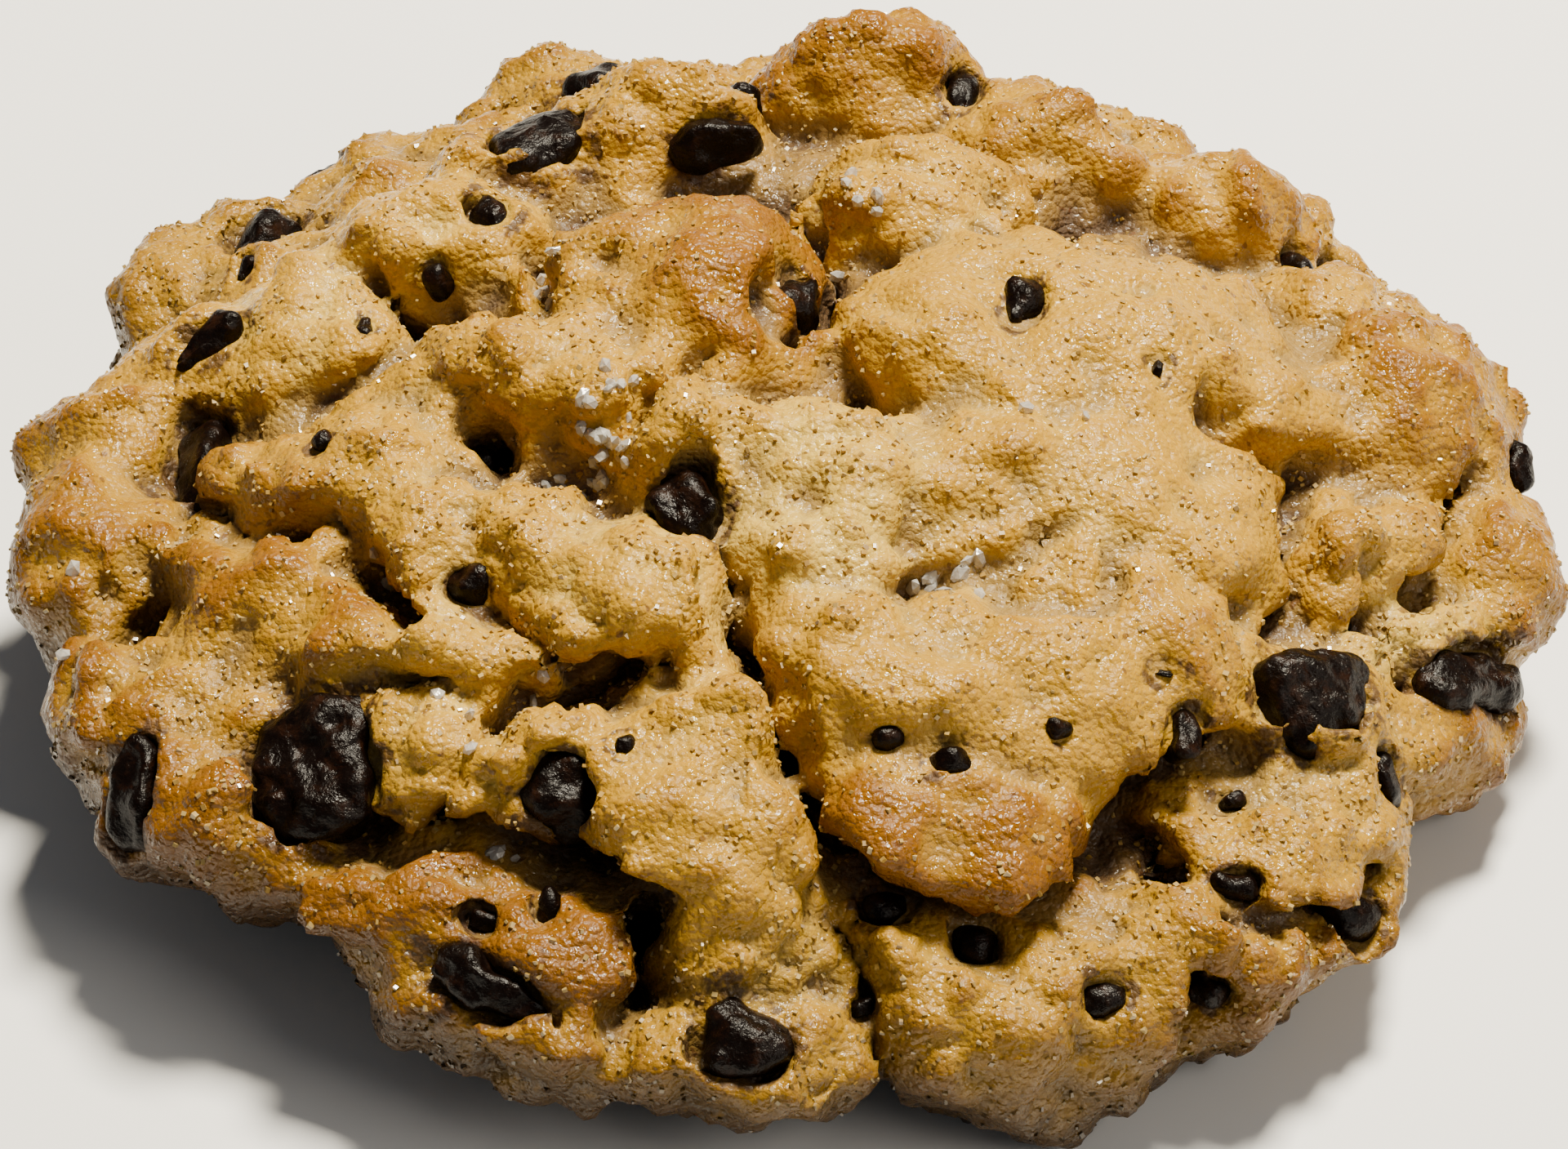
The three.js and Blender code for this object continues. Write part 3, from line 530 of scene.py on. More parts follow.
# How far the light spreads in the dough, and the sizes of its patches, specks and grain
DOUGH_GLOW = 0.5 * MM
BROAD_PATCHES = 6.0
MIDDLE_PATCHES = 1.8
FINE_PATCHES = 0.45
SPECKLE_SIZE = 0.35
FLECK_SIZE = 0.8
BLOT_SIZE = 1.5
GLOSS_PATCHES = 0.6
WET_SIZE = 0.36
DOUGH_GRAIN = 0.42
DOUGH_GRAIN_HEIGHT = 0.17 * MM
# Where browning, sinking, depth and noise pass from one colour to the next
PALE_TO_GOLD = (-0.75, 0.35)
GOLD_TO_TOASTED = (0.4, 1.5)
SPECKLE_RANGE = (0.48, 0.7)
FLECK_RANGE = (0.70, 0.76)
SKIN_TO_MOIST_AND_SHADE = (-0.1, 0.8)
MOIST_TO_PAINTED_SHADE = (0.4, 1.0)
SMEAR_RANGE = (0.55, 1.05)
GLOSS_RANGE = (0.35, 0.6)
# How strongly each of them shows
BROAD_BROWNING = 0.9
MIDDLE_BROWNING = 0.7
HOLLOW_PALENESS = 0.4
VALLEY_PALENESS = 0.5
SPECKLE_STRENGTH = 0.22
MOIST_AND_SHADE_BY_HOLLOW = 0.4
MOIST_AND_SHADE_STRENGTH = 0.85
PAINTED_SHADE_BY_HOLLOW = 0.3
FLECK_STRENGTH = 0.7
SMEAR_BLOTS = 2.2
SMEAR_SPECKS = 1.2
SMEAR_STRENGTH = 0.85
SKIN_GLOSS = 0.08
SKIN_DULLNESS = 0.4
SMEAR_DULLNESS = 0.2
PATCH_RELIEF = 0.3
GRAIN_RELIEF = 0.7


def ragged(start, points, layers):
    """The start value plus noises, each with its size, share and seed."""
    total = start
    for size, share, seed in layers:
        total = total + share * noise(points, size, seed)
    return total


def puffs(points, size, seed):
    """Round bumps of the given size that meet in sharp creases, about -1 to 0.5."""
    scaled = points / size
    cell = np.floor(scaled)
    nearest = np.full(len(points), FAR_OFF)
    for step in itertools.product((-1, 0, 1), repeat=3):
        corner = cell + step
        centre = corner + np.stack([lattice(*corner.T, seed + axis) for axis in range(3)], 1)
        nearest = np.minimum(nearest, ((centre - scaled) ** 2).sum(1))
    return PUFF_TOP - PUFF_STEEPNESS * np.minimum(nearest, PUFF_EDGE)


def dome_distance(points):
    """About the distance in millimetres from the plain dome, more than nothing outside."""
    across = np.hypot(points[:, 0], points[:, 1]) + TINY
    up = np.abs(points[:, 2] - RING_HEIGHT) + LEAST_HEIGHT
    height = np.where(points[:, 2] > RING_HEIGHT, RISE, FALL)
    across_part = (across / RADIUS) ** POWER_ACROSS
    up_part = (up / height) ** POWER_UP
    slope = np.hypot(POWER_ACROSS * across_part / across, POWER_UP * up_part / up) + LEAST_SLOPE
    return np.clip((across_part + up_part - 1) / slope, -DOME_REACH, DOME_REACH)


def sight_direction(azimuth, polar):
    down = math.radians(polar)
    turned = math.radians(azimuth)
    out = math.sin(down)
    return np.array([out * math.cos(turned), out * math.sin(turned), math.cos(down)])


def dome_point(azimuth, polar):
    """The place on the plain dome, found by halving along the sight line."""
    direction = sight_direction(azimuth, polar)
    inside, outside = SEARCH_LIMITS
    for _ in range(HALVINGS):
        between = (inside + outside) / 2
        if dome_distance((SIGHT + between * direction)[None])[0] > 0:
            outside = between
        else:
            inside = between
    return SIGHT + inside * direction


def dome_normal(point):
    nudges = NUDGE * np.eye(3)
    slope = dome_distance(point + nudges) - dome_distance(point - nudges)
    return slope / np.linalg.norm(slope)


def feature(azimuth, polar, half_sizes, turn, rise):
    """Centre, axes and half sizes of a lobe or hollow that sits on the dome."""
    point = dome_point(azimuth, polar)
    normal = dome_normal(point)
    round_axis = np.array([-point[1], point[0], 0.0])
    round_axis -= normal * (round_axis @ normal)
    round_axis /= np.linalg.norm(round_axis)
    down = np.cross(round_axis, normal)
    angle = math.radians(turn)
    along = math.cos(angle) * round_axis + math.sin(angle) * down
    axes = np.stack([along, np.cross(normal, along), normal])
    return point + rise * normal, axes, np.array(half_sizes)


def ellipsoid_distance(points, centre, axes, half_sizes):
    local = (points - centre) @ axes.T
    level = np.linalg.norm(local / half_sizes, axis=1)
    slope = np.linalg.norm(local / half_sizes**2, axis=1) + TINY
    return level * (level - 1) / slope


def near(points, centre, reach):
    return np.nonzero(np.all(np.abs(points - centre) < reach, axis=1))[0]


def seeded(seed):
    """Random numbers in the order that the frame's dough draws them."""
    state = seed

    def draw():
        nonlocal state
        state = (state + DRAW_STEP) & WORD
        mixed = ((state ^ (state >> 15)) * (1 | state)) & WORD
        mixed = (mixed + (mixed ^ (mixed >> 7)) * (61 | mixed)) & WORD ^ mixed
        return ((mixed ^ (mixed >> 14)) & WORD) / (WORD + 1)

    return draw


def far_lobes():
    draw = seeded(FAR_SEED)
    lobes = []
    for polar, spacing, length, width, rise in FAR_ROWS:
        azimuth = FAR_FROM + draw() * spacing * FAR_START
        while azimuth < FAR_TO:
            size = FAR_SIZE_LEAST + FAR_SIZE_SPREAD * draw()
            aside, down, turn = (spread * (draw() - 0.5) for spread in FAR_SPREADS)
            place = (azimuth + aside, polar + down)
            half_sizes = (length * size, width * size, FAR_THICKNESS)
            lobes.append((*place, *half_sizes, turn, rise + draw(), FAR_TOAST, FAR_CRUMB))
            azimuth += spacing
    return lobes


lobe_shapes = []
for azimuth, polar, length, width, thickness, turn, rise, toast, crumb in LOBES + far_lobes():
    half_sizes = (length * LOBE_SPREAD, width * LOBE_SPREAD, thickness)
    lobe_shapes.append((*feature(azimuth, polar, half_sizes, turn, rise - thickness), toast, crumb))


def swirled(points):
    """Points pushed about, so that no lobe keeps a perfect form."""
    moved = points.copy()
    for size, push, seed in SWIRLS:
        for axis in range(3):
            moved[:, axis] += push * noise(points, size, seed + axis)
    return moved


def cut_crack(distance, surface, points, crack):
    """Opens a crack as a curtain that runs in towards its axis point."""
    aim, half_width, depth, path = crack
    axis_point = np.array([0.0, 0.0, aim])
    on_dome = [dome_point(*place) for place in path]
    ends = [place + CRACK_RISE * dome_normal(place) - axis_point for place in on_dome]
    for start, end in zip(ends, ends[1:]):
        radius = (np.linalg.norm(start) + np.linalg.norm(end)) / 2
        reach = np.linalg.norm(start - end) / 2 + depth + CRACK_MARGIN
        chosen = near(points, axis_point + (start + end) / 2, reach)
        offset = points[chosen] - axis_point
        length = np.linalg.norm(offset, axis=1)
        flat = offset * (radius / length)[:, None]
        first = start / np.linalg.norm(start) * radius
        second = end / np.linalg.norm(end) * radius
        stretch = second - first
        share = np.clip((flat - first) @ stretch / (stretch @ stretch), 0, 1)
        aside = np.linalg.norm(flat - first - share[:, None] * stretch, axis=1) * length / radius
        below = -surface[chosen]
        width = half_width * ragged(CRACK_WIDENING, points[chosen], CRACK_RAGS)
        narrowing = width * np.clip(1 - below / depth, 0, 1)
        bevel = CRACK_BEVEL * np.exp(-np.clip(below, *CRACK_BEVEL_LIMITS) / CRACK_BEVEL_DEPTH)
        opened = np.where(below < depth, narrowing + bevel - aside, CLOSED)
        distance[chosen] = np.maximum(distance[chosen], opened)


def seat_chip(distance, points, seat):
    """Opens the skin above a chip, with a ragged edge."""
    centre, spread, reach = seat
    chosen = near(points, centre, reach + WELL_MARGIN)
    offset = points[chosen] - centre
    out = dome_normal(centre) if centre[2] > BASE_CHIP_HEIGHT else np.array([0.0, 0.0, -1.0])
    aside = offset - (offset @ out)[:, None] * out
    edge = ragged(0, points[chosen], WELL_RAGS)
    widest = np.minimum(WELL_SHARE + WELL_RAGGED * edge, WELL_WIDEST)
    open_share = np.sqrt(np.einsum("ij,jk,ik->i", aside, spread, aside))
    well = np.minimum((widest - open_share) * reach, offset @ out)
    distance[chosen] = np.maximum(distance[chosen], well)


def melt_share(distance):
    """How much a form at this distance weighs where the forms melt together."""
    return np.exp(-np.clip(distance, *MELT_LIMITS) / MELT)


def dough_distance(still):
    """About the distance to the dough's skin, less than nothing inside."""
    points = swirled(still)
    melted = melt_share(dome_distance(points) + CORE_INSET)
    for centre, axes, half_sizes, _, _ in lobe_shapes:
        chosen = near(points, centre, half_sizes.max() + LOBE_MARGIN)
        melted[chosen] += melt_share(ellipsoid_distance(points[chosen], centre, axes, half_sizes))
    surface = -MELT * np.log(melted)
    distance = surface.copy()
    for crack in CRACKS:
        cut_crack(distance, surface, points, crack)
    for azimuth, polar, length, width, depth, turn, rise in HOLLOWS:
        shape = feature(azimuth, polar, (length, width, depth), turn, rise)
        chosen = near(points, shape[0], max(length, width, depth) + HOLLOW_MARGIN)
        distance[chosen] = np.maximum(distance[chosen], -ellipsoid_distance(points[chosen], *shape))
    for size, standing, seed in LUMPS:
        distance -= standing * (LUMP_SWELL * np.abs(noise(points, size, seed)) - LUMP_CREASE)
    for seat in chip_seats:
        seat_chip(distance, still, seat)
    return np.maximum(distance, -still[:, 2])


def dough_grid():
    """The field on the grid, worked out only near the skin."""
    counts = np.round((GRID_HIGH - GRID_LOW) / CELL).astype(int) + 1
    lines = [GRID_LOW[axis] + CELL * np.arange(counts[axis]) for axis in range(3)]
    places = np.stack(np.meshgrid(*lines, indexing="ij"), -1).reshape(-1, 3)
    plain = dome_distance(places)
    field = np.where(plain > 0, FAR_OFF, -FAR_OFF)
    skin = np.nonzero((plain > FIELD_LOW) & (plain < FIELD_HIGH))[0]
    field[skin] = dough_distance(places[skin])
    return np.maximum(field, -places[:, 2]).reshape(counts)


def skinned(field):
    """Points and four-sided faces where the field changes sign, one point in each crossed cell."""
    inside = field < 0
    sizes = field.shape
    corners = [(i, j, k) for i in (0, 1) for j in (0, 1) for k in (0, 1)]
    filled = sum(
        inside[i : sizes[0] - 1 + i, j : sizes[1] - 1 + j, k : sizes[2] - 1 + k].astype(np.int8)
        for i, j, k in corners
    )
    cells = np.stack(np.nonzero((filled > 0) & (filled < 8)), -1)
    number = np.full([size - 1 for size in sizes], -1)
    number[tuple(cells.T)] = np.arange(len(cells))
    values = {corner: field[tuple((cells + corner).T)] for corner in corners}
    total = np.zeros((len(cells), 3))
    crossings = np.zeros(len(cells))
    for start in corners:
        for end in corners:
            if sum(end) - sum(start) != 1 or any(b < a for a, b in zip(start, end)):
                continue
            low, high = values[start], values[end]
            crosses = (low < 0) != (high < 0)
            share = np.where(crosses, low / np.where(crosses, low - high, 1), 0)
            place = np.array(start) + share[:, None] * (np.array(end) - start)
            total += np.where(crosses[:, None], place, 0)
            crossings += crosses
    points = (cells + total / crossings[:, None]) * CELL + GRID_LOW
    faces = []
    for axis in range(3):
        before = np.take(inside, range(sizes[axis] - 1), axis)
        after = np.take(inside, range(1, sizes[axis]), axis)
        edges = np.stack(np.nonzero(before != after), -1)
        first, second = (other for other in range(3) if other != axis)
        ring = []
        for step_first, step_second in ((-1, -1), (0, -1), (0, 0), (-1, 0)):
            cell = edges.copy()
            cell[:, first] += step_first
            cell[:, second] += step_second
            ring.append(number[tuple(cell.T)])
        ring = np.stack(ring, -1)
        leaving = before[tuple(edges.T)]
        backwards = leaving if axis == 1 else ~leaving
        ring[backwards] = ring[backwards][:, ::-1]
        faces.append(ring)
    return points, np.concatenate(faces)


def largest_island(points, faces):
    """Drops crumbs that hang free of the rest, and closed bubbles."""
    label = np.arange(len(points))
    while True:
        lowest = label[faces].min(1)
        spread_label = label.copy()
        np.minimum.at(spread_label, faces.ravel(), np.repeat(lowest, 4))
        spread_label = spread_label[spread_label]
        if np.array_equal(spread_label, label):
            break
        label = spread_label
    main = np.bincount(label).argmax()
    kept = label == main
    renumbered = np.cumsum(kept) - 1
    return points[kept], renumbered[faces[kept[faces[:, 0]]]]


def neighbour_mean(values, faces, times):
    """Each point's value averaged with its neighbours, the given number of times."""
    starts = faces.ravel()
    ends = np.roll(faces, -1, axis=1).ravel()
    count = np.bincount(starts, minlength=len(values)) + np.bincount(ends, minlength=len(values))
    for _ in range(times):
        total = np.zeros_like(values)
        for column in range(values.shape[1]):
            total[:, column] = np.bincount(starts, values[ends, column], len(values))
            total[:, column] += np.bincount(ends, values[starts, column], len(values))
        values = total / count[:, None]
    return values


def lobe_blend(points):
    """Toast and crumb at each point, from the lobes that it lies in, and its depth below them."""
    weight = np.full(len(points), BLEND_FLOOR)
    toast = np.zeros(len(points))
    crumb = BLEND_CRUMB * weight
    melted = melt_share(dome_distance(points) + CORE_INSET)
    for centre, axes, half_sizes, lobe_toast, lobe_crumb in lobe_shapes:
        chosen = near(points, centre, half_sizes.max() + BLEND_MARGIN)
        lobe = ellipsoid_distance(points[chosen], centre, axes, half_sizes)
        share = np.exp(-np.clip(lobe, *BLEND_LIMITS) / BLEND_WIDTH)
        weight[chosen] += share
        toast[chosen] += share * lobe_toast
        crumb[chosen] += share * lobe_crumb
        melted[chosen] += melt_share(lobe)
    return toast / weight, crumb / weight, MELT * np.log(melted)


def chip_distance(points):
    """The distance to the nearest chip, and that chip's half size."""
    closest = np.full(len(points), FAR_OFF)
    half_size = np.ones(len(points))
    for centre, spread, reach in chip_seats:
        chosen = near(points, centre, reach + CHIP_MARGIN)
        offset = points[chosen] - centre
        level = np.sqrt(np.einsum("ij,jk,ik->i", offset, spread, offset))
        slope = np.linalg.norm(offset @ spread, axis=1) + TINY
        beside = level * (level - 1) / slope
        nearer = beside < closest[chosen]
        closest[chosen[nearer]] = beside[nearer]
        half_size[chosen[nearer]] = reach
    return closest, half_size


def add_layer(mesh, name, values):
    layer = mesh.attributes.new(name, "FLOAT", "POINT")
    layer.data.foreach_set("value", values.astype(np.float32))


def flatten_base(mesh):
    """Joins the small faces of the flat base into large ones."""
    limit = BASE_LIMIT * MM
    joined = bmesh.new()
    joined.from_mesh(mesh)
    base = [vertex for vertex in joined.verts if vertex.co.z < limit]
    edges = [edge for edge in joined.edges if all(vertex.co.z < limit for vertex in edge.verts)]
    bmesh.ops.dissolve_limit(joined, angle_limit=BASE_ANGLE, verts=base, edges=edges)
    wide = [face for face in joined.faces if len(face.verts) > 4]
    bmesh.ops.triangulate(joined, faces=wide)
    for face in joined.faces:
        face.smooth = not all(vertex.co.z < limit for vertex in face.verts)
    joined.to_mesh(mesh)
    joined.free()


def dough_material():
    """Pale to toasted by lobe, browned and darkened with painted shade at the rim, moist and darker with
    painted shade in the hollows.
    """
    constants = {
        "Specular IOR Level": 0.3,
        "Subsurface Weight": 0.35,
        "Subsurface Radius": (1.0, 0.7, 0.45),
        "Subsurface Scale": DOUGH_GLOW,
    }
    material, shader, wire = new_material("baked_dough", constants)
    place = wire.node("ShaderNodeTexCoord", output=3)
    layers = {}
    for layer in ("toast", "hollow", "valley", "depth", "rim_brown_and_shade", "smear"):
        layers[layer] = wire.node("ShaderNodeAttribute", {"attribute_name": layer}, output=2)
    broad = grain(wire, place, BROAD_PATCHES, 3.0)
    middle = grain(wire, place, MIDDLE_PATCHES, 3.0, 0.6)
    fine = grain(wire, place, FINE_PATCHES)
    browning = layers["toast"] + BROAD_BROWNING * (broad - 0.5) + MIDDLE_BROWNING * (middle - 0.5)
    browning = browning - HOLLOW_PALENESS * layers["hollow"] - VALLEY_PALENESS * layers["valley"]
    colour = browning.ramped(*PALE_TO_GOLD).blend(DOUGH_PALE, DOUGH_GOLD)
    colour = browning.ramped(*GOLD_TO_TOASTED).blend(colour, DOUGH_TOASTED)
    speckle = grain(wire, place, SPECKLE_SIZE).ramped(*SPECKLE_RANGE)
    colour = (speckle * SPECKLE_STRENGTH).blend(colour, DOUGH_TOASTED)
    # Hollows, valleys and sunken places turn to the moist colour: partly moist crumb, partly painted
    # shade
    sunk = MOIST_AND_SHADE_BY_HOLLOW * layers["hollow"] + layers["depth"] + layers["valley"]
    colour = (sunk.ramped(*SKIN_TO_MOIST_AND_SHADE) * MOIST_AND_SHADE_STRENGTH).blend(colour, DOUGH_MOIST_AND_SHADE)
    # Painted shade: the deepest places and hollows darken towards a dark brown
    painted_shade = layers["depth"] + PAINTED_SHADE_BY_HOLLOW * layers["hollow"]
    colour = painted_shade.ramped(*MOIST_TO_PAINTED_SHADE).blend(colour, DOUGH_PAINTED_SHADE)
    fleck = grain(wire, place, FLECK_SIZE, 1.0).ramped(*FLECK_RANGE)
    colour = (fleck * FLECK_STRENGTH).blend(colour, FLECK_BROWN)
    blots = grain(wire, place, BLOT_SIZE)
    smear = layers["smear"] + SMEAR_BLOTS * (blots - 0.5) + SMEAR_SPECKS * (fine - 0.5)
    smeared = smear.ramped(*SMEAR_RANGE) * SMEAR_STRENGTH
    colour = smeared.blend(colour, SMEAR_BROWN)
    # The rim's browning and painted shade over all
    plug(layers["rim_brown_and_shade"].blend(colour, DOUGH_RIM_BROWN_AND_SHADE), shader, "Base Color")
    gloss = grain(wire, place, GLOSS_PATCHES).ramped(*GLOSS_RANGE)
    plug(SKIN_GLOSS + SKIN_DULLNESS * gloss + SMEAR_DULLNESS * smeared, shader, "Roughness")
    wet = grain(wire, place, WET_SIZE)
    cells = {"Vector": place, "Scale": 1 / (DOUGH_GRAIN * MM)}
    grains = wire.node("ShaderNodeTexVoronoi", None, cells)
    height = PATCH_RELIEF * middle + wet - GRAIN_RELIEF * grains * grains
    bumped(wire, shader, height, DOUGH_GRAIN_HEIGHT)
    return material


points, faces = largest_island(*skinned(dough_grid()))
on_base = points[:, 2] < BASE_LIMIT
dough_mesh = bpy.data.meshes.new("baked_dough")
dough_mesh.from_pydata((points * MM).tolist(), [], faces.tolist())
dough_mesh.update()
soft = (1 - SKIN_SOFTENING) * points + SKIN_SOFTENING * neighbour_mean(points, faces, 1)
points = np.where(on_base[:, None], points, soft)
set_points(dough_mesh, points)
outward = point_normals(dough_mesh)
toast, crumb, depth = lobe_blend(swirled(points))
beside_chip, chip_half = chip_distance(points)
near_chip = np.clip(1 - beside_chip / CHIP_CALM, 0, 1)
smear_width = SMEAR_SHARE * chip_half * ragged(1, points, SMEAR_RAGS)
for number, (size, standing) in enumerate(PUFFS):
    height = standing * (PUFF_LEAST + PUFF_BY_CRUMB * crumb)
    height = height * puffs(points, size, PUFF_SEED + 3 * number) * (1 - near_chip)
    points = points + np.where(on_base, 0, height)[:, None] * outward
points[:, 2] = np.maximum(points[:, 2], 0)
set_points(dough_mesh, points)
shade_smooth(dough_mesh)
outward = point_normals(dough_mesh)
hollow = np.einsum("ij,ij->i", neighbour_mean(points, faces, HOLLOW_STEPS) - points, outward)
valley = np.einsum("ij,ij->i", neighbour_mean(points, faces, VALLEY_STEPS) - points, outward)
patches = ragged(SUGAR_EVEN, points, SUGAR_PATCHES)
patches = np.where(points[:, 2] > SUGAR_LOWEST, patches, 0)
sugared = (crumb + SUGAR_LEAST + SUGAR_BY_HOLLOW * np.abs(hollow)) * patches
smear = 1 - np.abs(beside_chip) / np.maximum(smear_width, SMEAR_LEAST)
sunk = np.maximum(depth - BELOW_LOBES, -dome_distance(swirled(points)) - BELOW_DOME)
facing_up = np.clip(outward[:, 2], 0, 1)
# Browning and painted shade on the low walls: most on the left front, less where the skin faces up
wall = np.clip(1 - points[:, 2] / RIM_HEIGHT, 0, 1) * (1 - RIM_FACING_UP * facing_up)
around = np.arctan2(points[:, 1], points[:, 0]) - math.radians(RIM_DARKEST)
rim_brown_and_shade = RIM_STRENGTH * wall * (RIM_EVEN + RIM_UNEVEN * np.cos(around))
add_layer(dough_mesh, "toast", toast)
add_layer(dough_mesh, "hollow", np.clip(hollow / HOLLOW_DEPTH, -1, 1))
add_layer(dough_mesh, "valley", np.clip((valley + VALLEY_LIFT) / VALLEY_DEPTH, VALLEY_LEAST, 1))
add_layer(dough_mesh, "depth", np.clip(sunk / DEPTH_SPAN, 0, 1))
add_layer(dough_mesh, "smear", np.clip(smear, 0, 1))
add_layer(dough_mesh, "rim_brown_and_shade", np.clip(rim_brown_and_shade, 0, RIM_MOST))
add_layer(dough_mesh, "crumbly", np.clip(sugared, 0, 1) * (1 - near_chip))
flatten_base(dough_mesh)
dough_mesh.materials.append(dough_material())
dough = new_object("baked_dough", dough_mesh)
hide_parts("dough")
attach(dough, "root")

# The coarse salt. Small clear crystals that were strewn on the dough before baking and lie in
# clusters in its cracks. Each is a rough lump with a turn and a size of its own.
# Clusters: azimuth, polar, number of crystals
SALT_CLUSTERS = [
    (227, 21.5, 16),
    (226.5, 24, 14),
    (170, 21.5, 8),
    (294.5, 31.5, 9),
    (170, 33, 6),
    (65, 14, 6),
    (240, 45, 5),
    (212.5, 43, 2),
    (201, 55, 2),
    (247, 53.5, 4),
    (329.5, 24.5, 2),
]
SALT_SPREAD = 4.0
SALT_PLACES_SEED = 7
SALT_CLEARANCE = 0.7
FAR_OUTSIDE = 66
SALT_SIZE = 1.2 * MM
SALT_RADIUS = 0.55
SALT_LEAST = (0.5, 0.35, 0.3)
SALT_MOST = (1.3, 0.9, 0.8)
SALT_SEED = 3
ANY_TURN = (6.3, 6.3, 6.3)
SALT_FACETS = 0.35
SALT_RELIEF = 0.1 * MM
SALT_RELIEF_STRENGTH = 0.6


def tree_node(tree, kind, settings=None, sockets=None):
    made = tree.nodes.new(kind)
    for name, value in (settings or {}).items():
        setattr(made, name, value)
    for name, value in (sockets or {}).items():
        if isinstance(value, bpy.types.NodeSocket):
            tree.links.new(value, made.inputs[name])
        else:
            made.inputs[name].default_value = value
    return made


def new_tree(name, inputs):
    """A tree of nodes with a geometry input, the named inputs, and the node that gives them."""
    tree = bpy.data.node_groups.new(name, "GeometryNodeTree")
    tree.interface.new_socket("Geometry", in_out="INPUT", socket_type="NodeSocketGeometry")
    for socket, kind in inputs.items():
        tree.interface.new_socket(socket, in_out="INPUT", socket_type=kind)
    tree.interface.new_socket("Geometry", in_out="OUTPUT", socket_type="NodeSocketGeometry")
    return tree, tree.nodes.new("NodeGroupInput")


def finish_tree(tree, instances, material):
    realized = tree_node(tree, "GeometryNodeRealizeInstances", None, {0: instances})
    values = {"Geometry": realized.outputs[0], "Material": material}
    coloured = tree_node(tree, "GeometryNodeSetMaterial", None, values)
    output = tree.nodes.new("NodeGroupOutput")
    tree.links.new(coloured.outputs[0], output.inputs[0])


def strewn(tree, points, shape, size, least, most, seed):
    """Copies of the shape on the points, each with its own turn and size."""
    vector = {"data_type": "FLOAT_VECTOR"}
    turn = tree_node(tree, "FunctionNodeRandomValue", vector, {"Max": ANY_TURN, "Seed": seed})
    limits = {"Min": least, "Max": most, "Seed": seed + 1}
    scale = tree_node(tree, "FunctionNodeRandomValue", vector, limits)
    scaling = {0: scale.outputs[0], "Scale": size}
    sized = tree_node(tree, "ShaderNodeVectorMath", {"operation": "SCALE"}, scaling)
    values = {"Points": points, "Instance": shape.outputs["Mesh"]}
    values |= {"Rotation": turn.outputs[0], "Scale": sized.outputs[0]}
    return tree_node(tree, "GeometryNodeInstanceOnPoints", None, values).outputs[0]


def grown(thing, tree, values):
    """Runs the tree on the object and keeps the result as its plain mesh."""
    modifier = thing.modifiers.new("grown", "NODES")
    modifier.node_group = tree
    inputs = [item for item in tree.interface.items_tree if item.in_out == "INPUT"]
    identifiers = {item.name: item.identifier for item in inputs}
    for name, value in values.items():
        modifier[identifiers[name]] = value
    applied(thing)


def salt_tree():
    inputs = {"Size": "NodeSocketFloat", "Material": "NodeSocketMaterial"}
    tree, given = new_tree("salt_crystals", inputs)
    lump = {"Radius": SALT_RADIUS, "Subdivisions": 1}
    crystal = tree_node(tree, "GeometryNodeMeshIcoSphere", None, lump)
    limits = (given.outputs["Size"], SALT_LEAST, SALT_MOST)
    crystals = strewn(tree, given.outputs["Geometry"], crystal, *limits, SALT_SEED)
    finish_tree(tree, crystals, given.outputs["Material"])
    return tree


def salt_material():
    constants = {
        "Base Color": (0.82, 0.80, 0.75, 1),
        "Roughness": 0.08,
        "IOR": 1.54,
        "Transmission Weight": 0.6,
    }
    material, shader, wire = new_material("clear_salt", constants)
    place = wire.node("ShaderNodeTexCoord", output=3)
    facets = grain(wire, place, SALT_FACETS)
    bumped(wire, shader, facets, SALT_RELIEF, SALT_RELIEF_STRENGTH)
    return material


def dough_surface(tree, azimuth, polar):
    """The point of the finished dough at a place, seen from outside."""
    direction = sight_direction(azimuth, polar)
    outside = Vector((SIGHT + FAR_OUTSIDE * direction) * MM)
    hit = tree.ray_cast(outside, Vector(-direction))
    return np.array(hit[0]) / MM


surface_tree = BVHTree.FromPolygons((points * MM).tolist(), faces.tolist())
draw_salt = np.random.default_rng(SALT_PLACES_SEED)
salt_points = []
for azimuth, polar, count in SALT_CLUSTERS:
    for _ in range(count):
        down, sideways = draw_salt.normal(0, SALT_SPREAD / 2, 2)
        aside = sideways / math.sin(math.radians(polar))
        salt_points.append(dough_surface(surface_tree, azimuth + aside, polar + down))
salt_points = np.array(salt_points)
clear_of_chips = chip_distance(salt_points)[0] > SALT_CLEARANCE
salt_mesh = bpy.data.meshes.new("salt_crystals")
salt_mesh.from_pydata((salt_points[clear_of_chips] * MM).tolist(), [], [])
salt = new_object("salt_crystals", salt_mesh)
grown(salt, salt_tree(), {"Size": SALT_SIZE, "Material": salt_material()})
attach(salt, "root")

# The grain on the skin. Sugar crystals of about a quarter of a millimetre that did not melt in
# the oven. They stick to the skin, more where it is crumbly, and glint in the light.
GRAIN_SIZE = 0.26 * MM
GRAIN_LEAST = (0.4, 0.4, 0.4)
GRAIN_MOST = (1.3, 1.3, 1.1)
GRAIN_SEED = 6
GRAIN_COUNT_PER_M2 = 2.6e6
GRAIN_SPACING = 0.3 * MM
GRAIN_PLACES_SEED = 5
# No grain where the skin faces down, all of it from here up
GRAIN_FACING = (-0.6, 0.2)
SUGAR_PALE = (0.62, 0.44, 0.15, 1)
SUGAR_GOLD = (0.46, 0.27, 0.05, 1)
TINT_PATCHES = 2.0
TINT_RANGE = (0.4, 0.6)
SUGAR_GLOSS = 0.05
SUGAR_DULLNESS = 0.25
SUGAR_DULL_PATCHES = 0.8


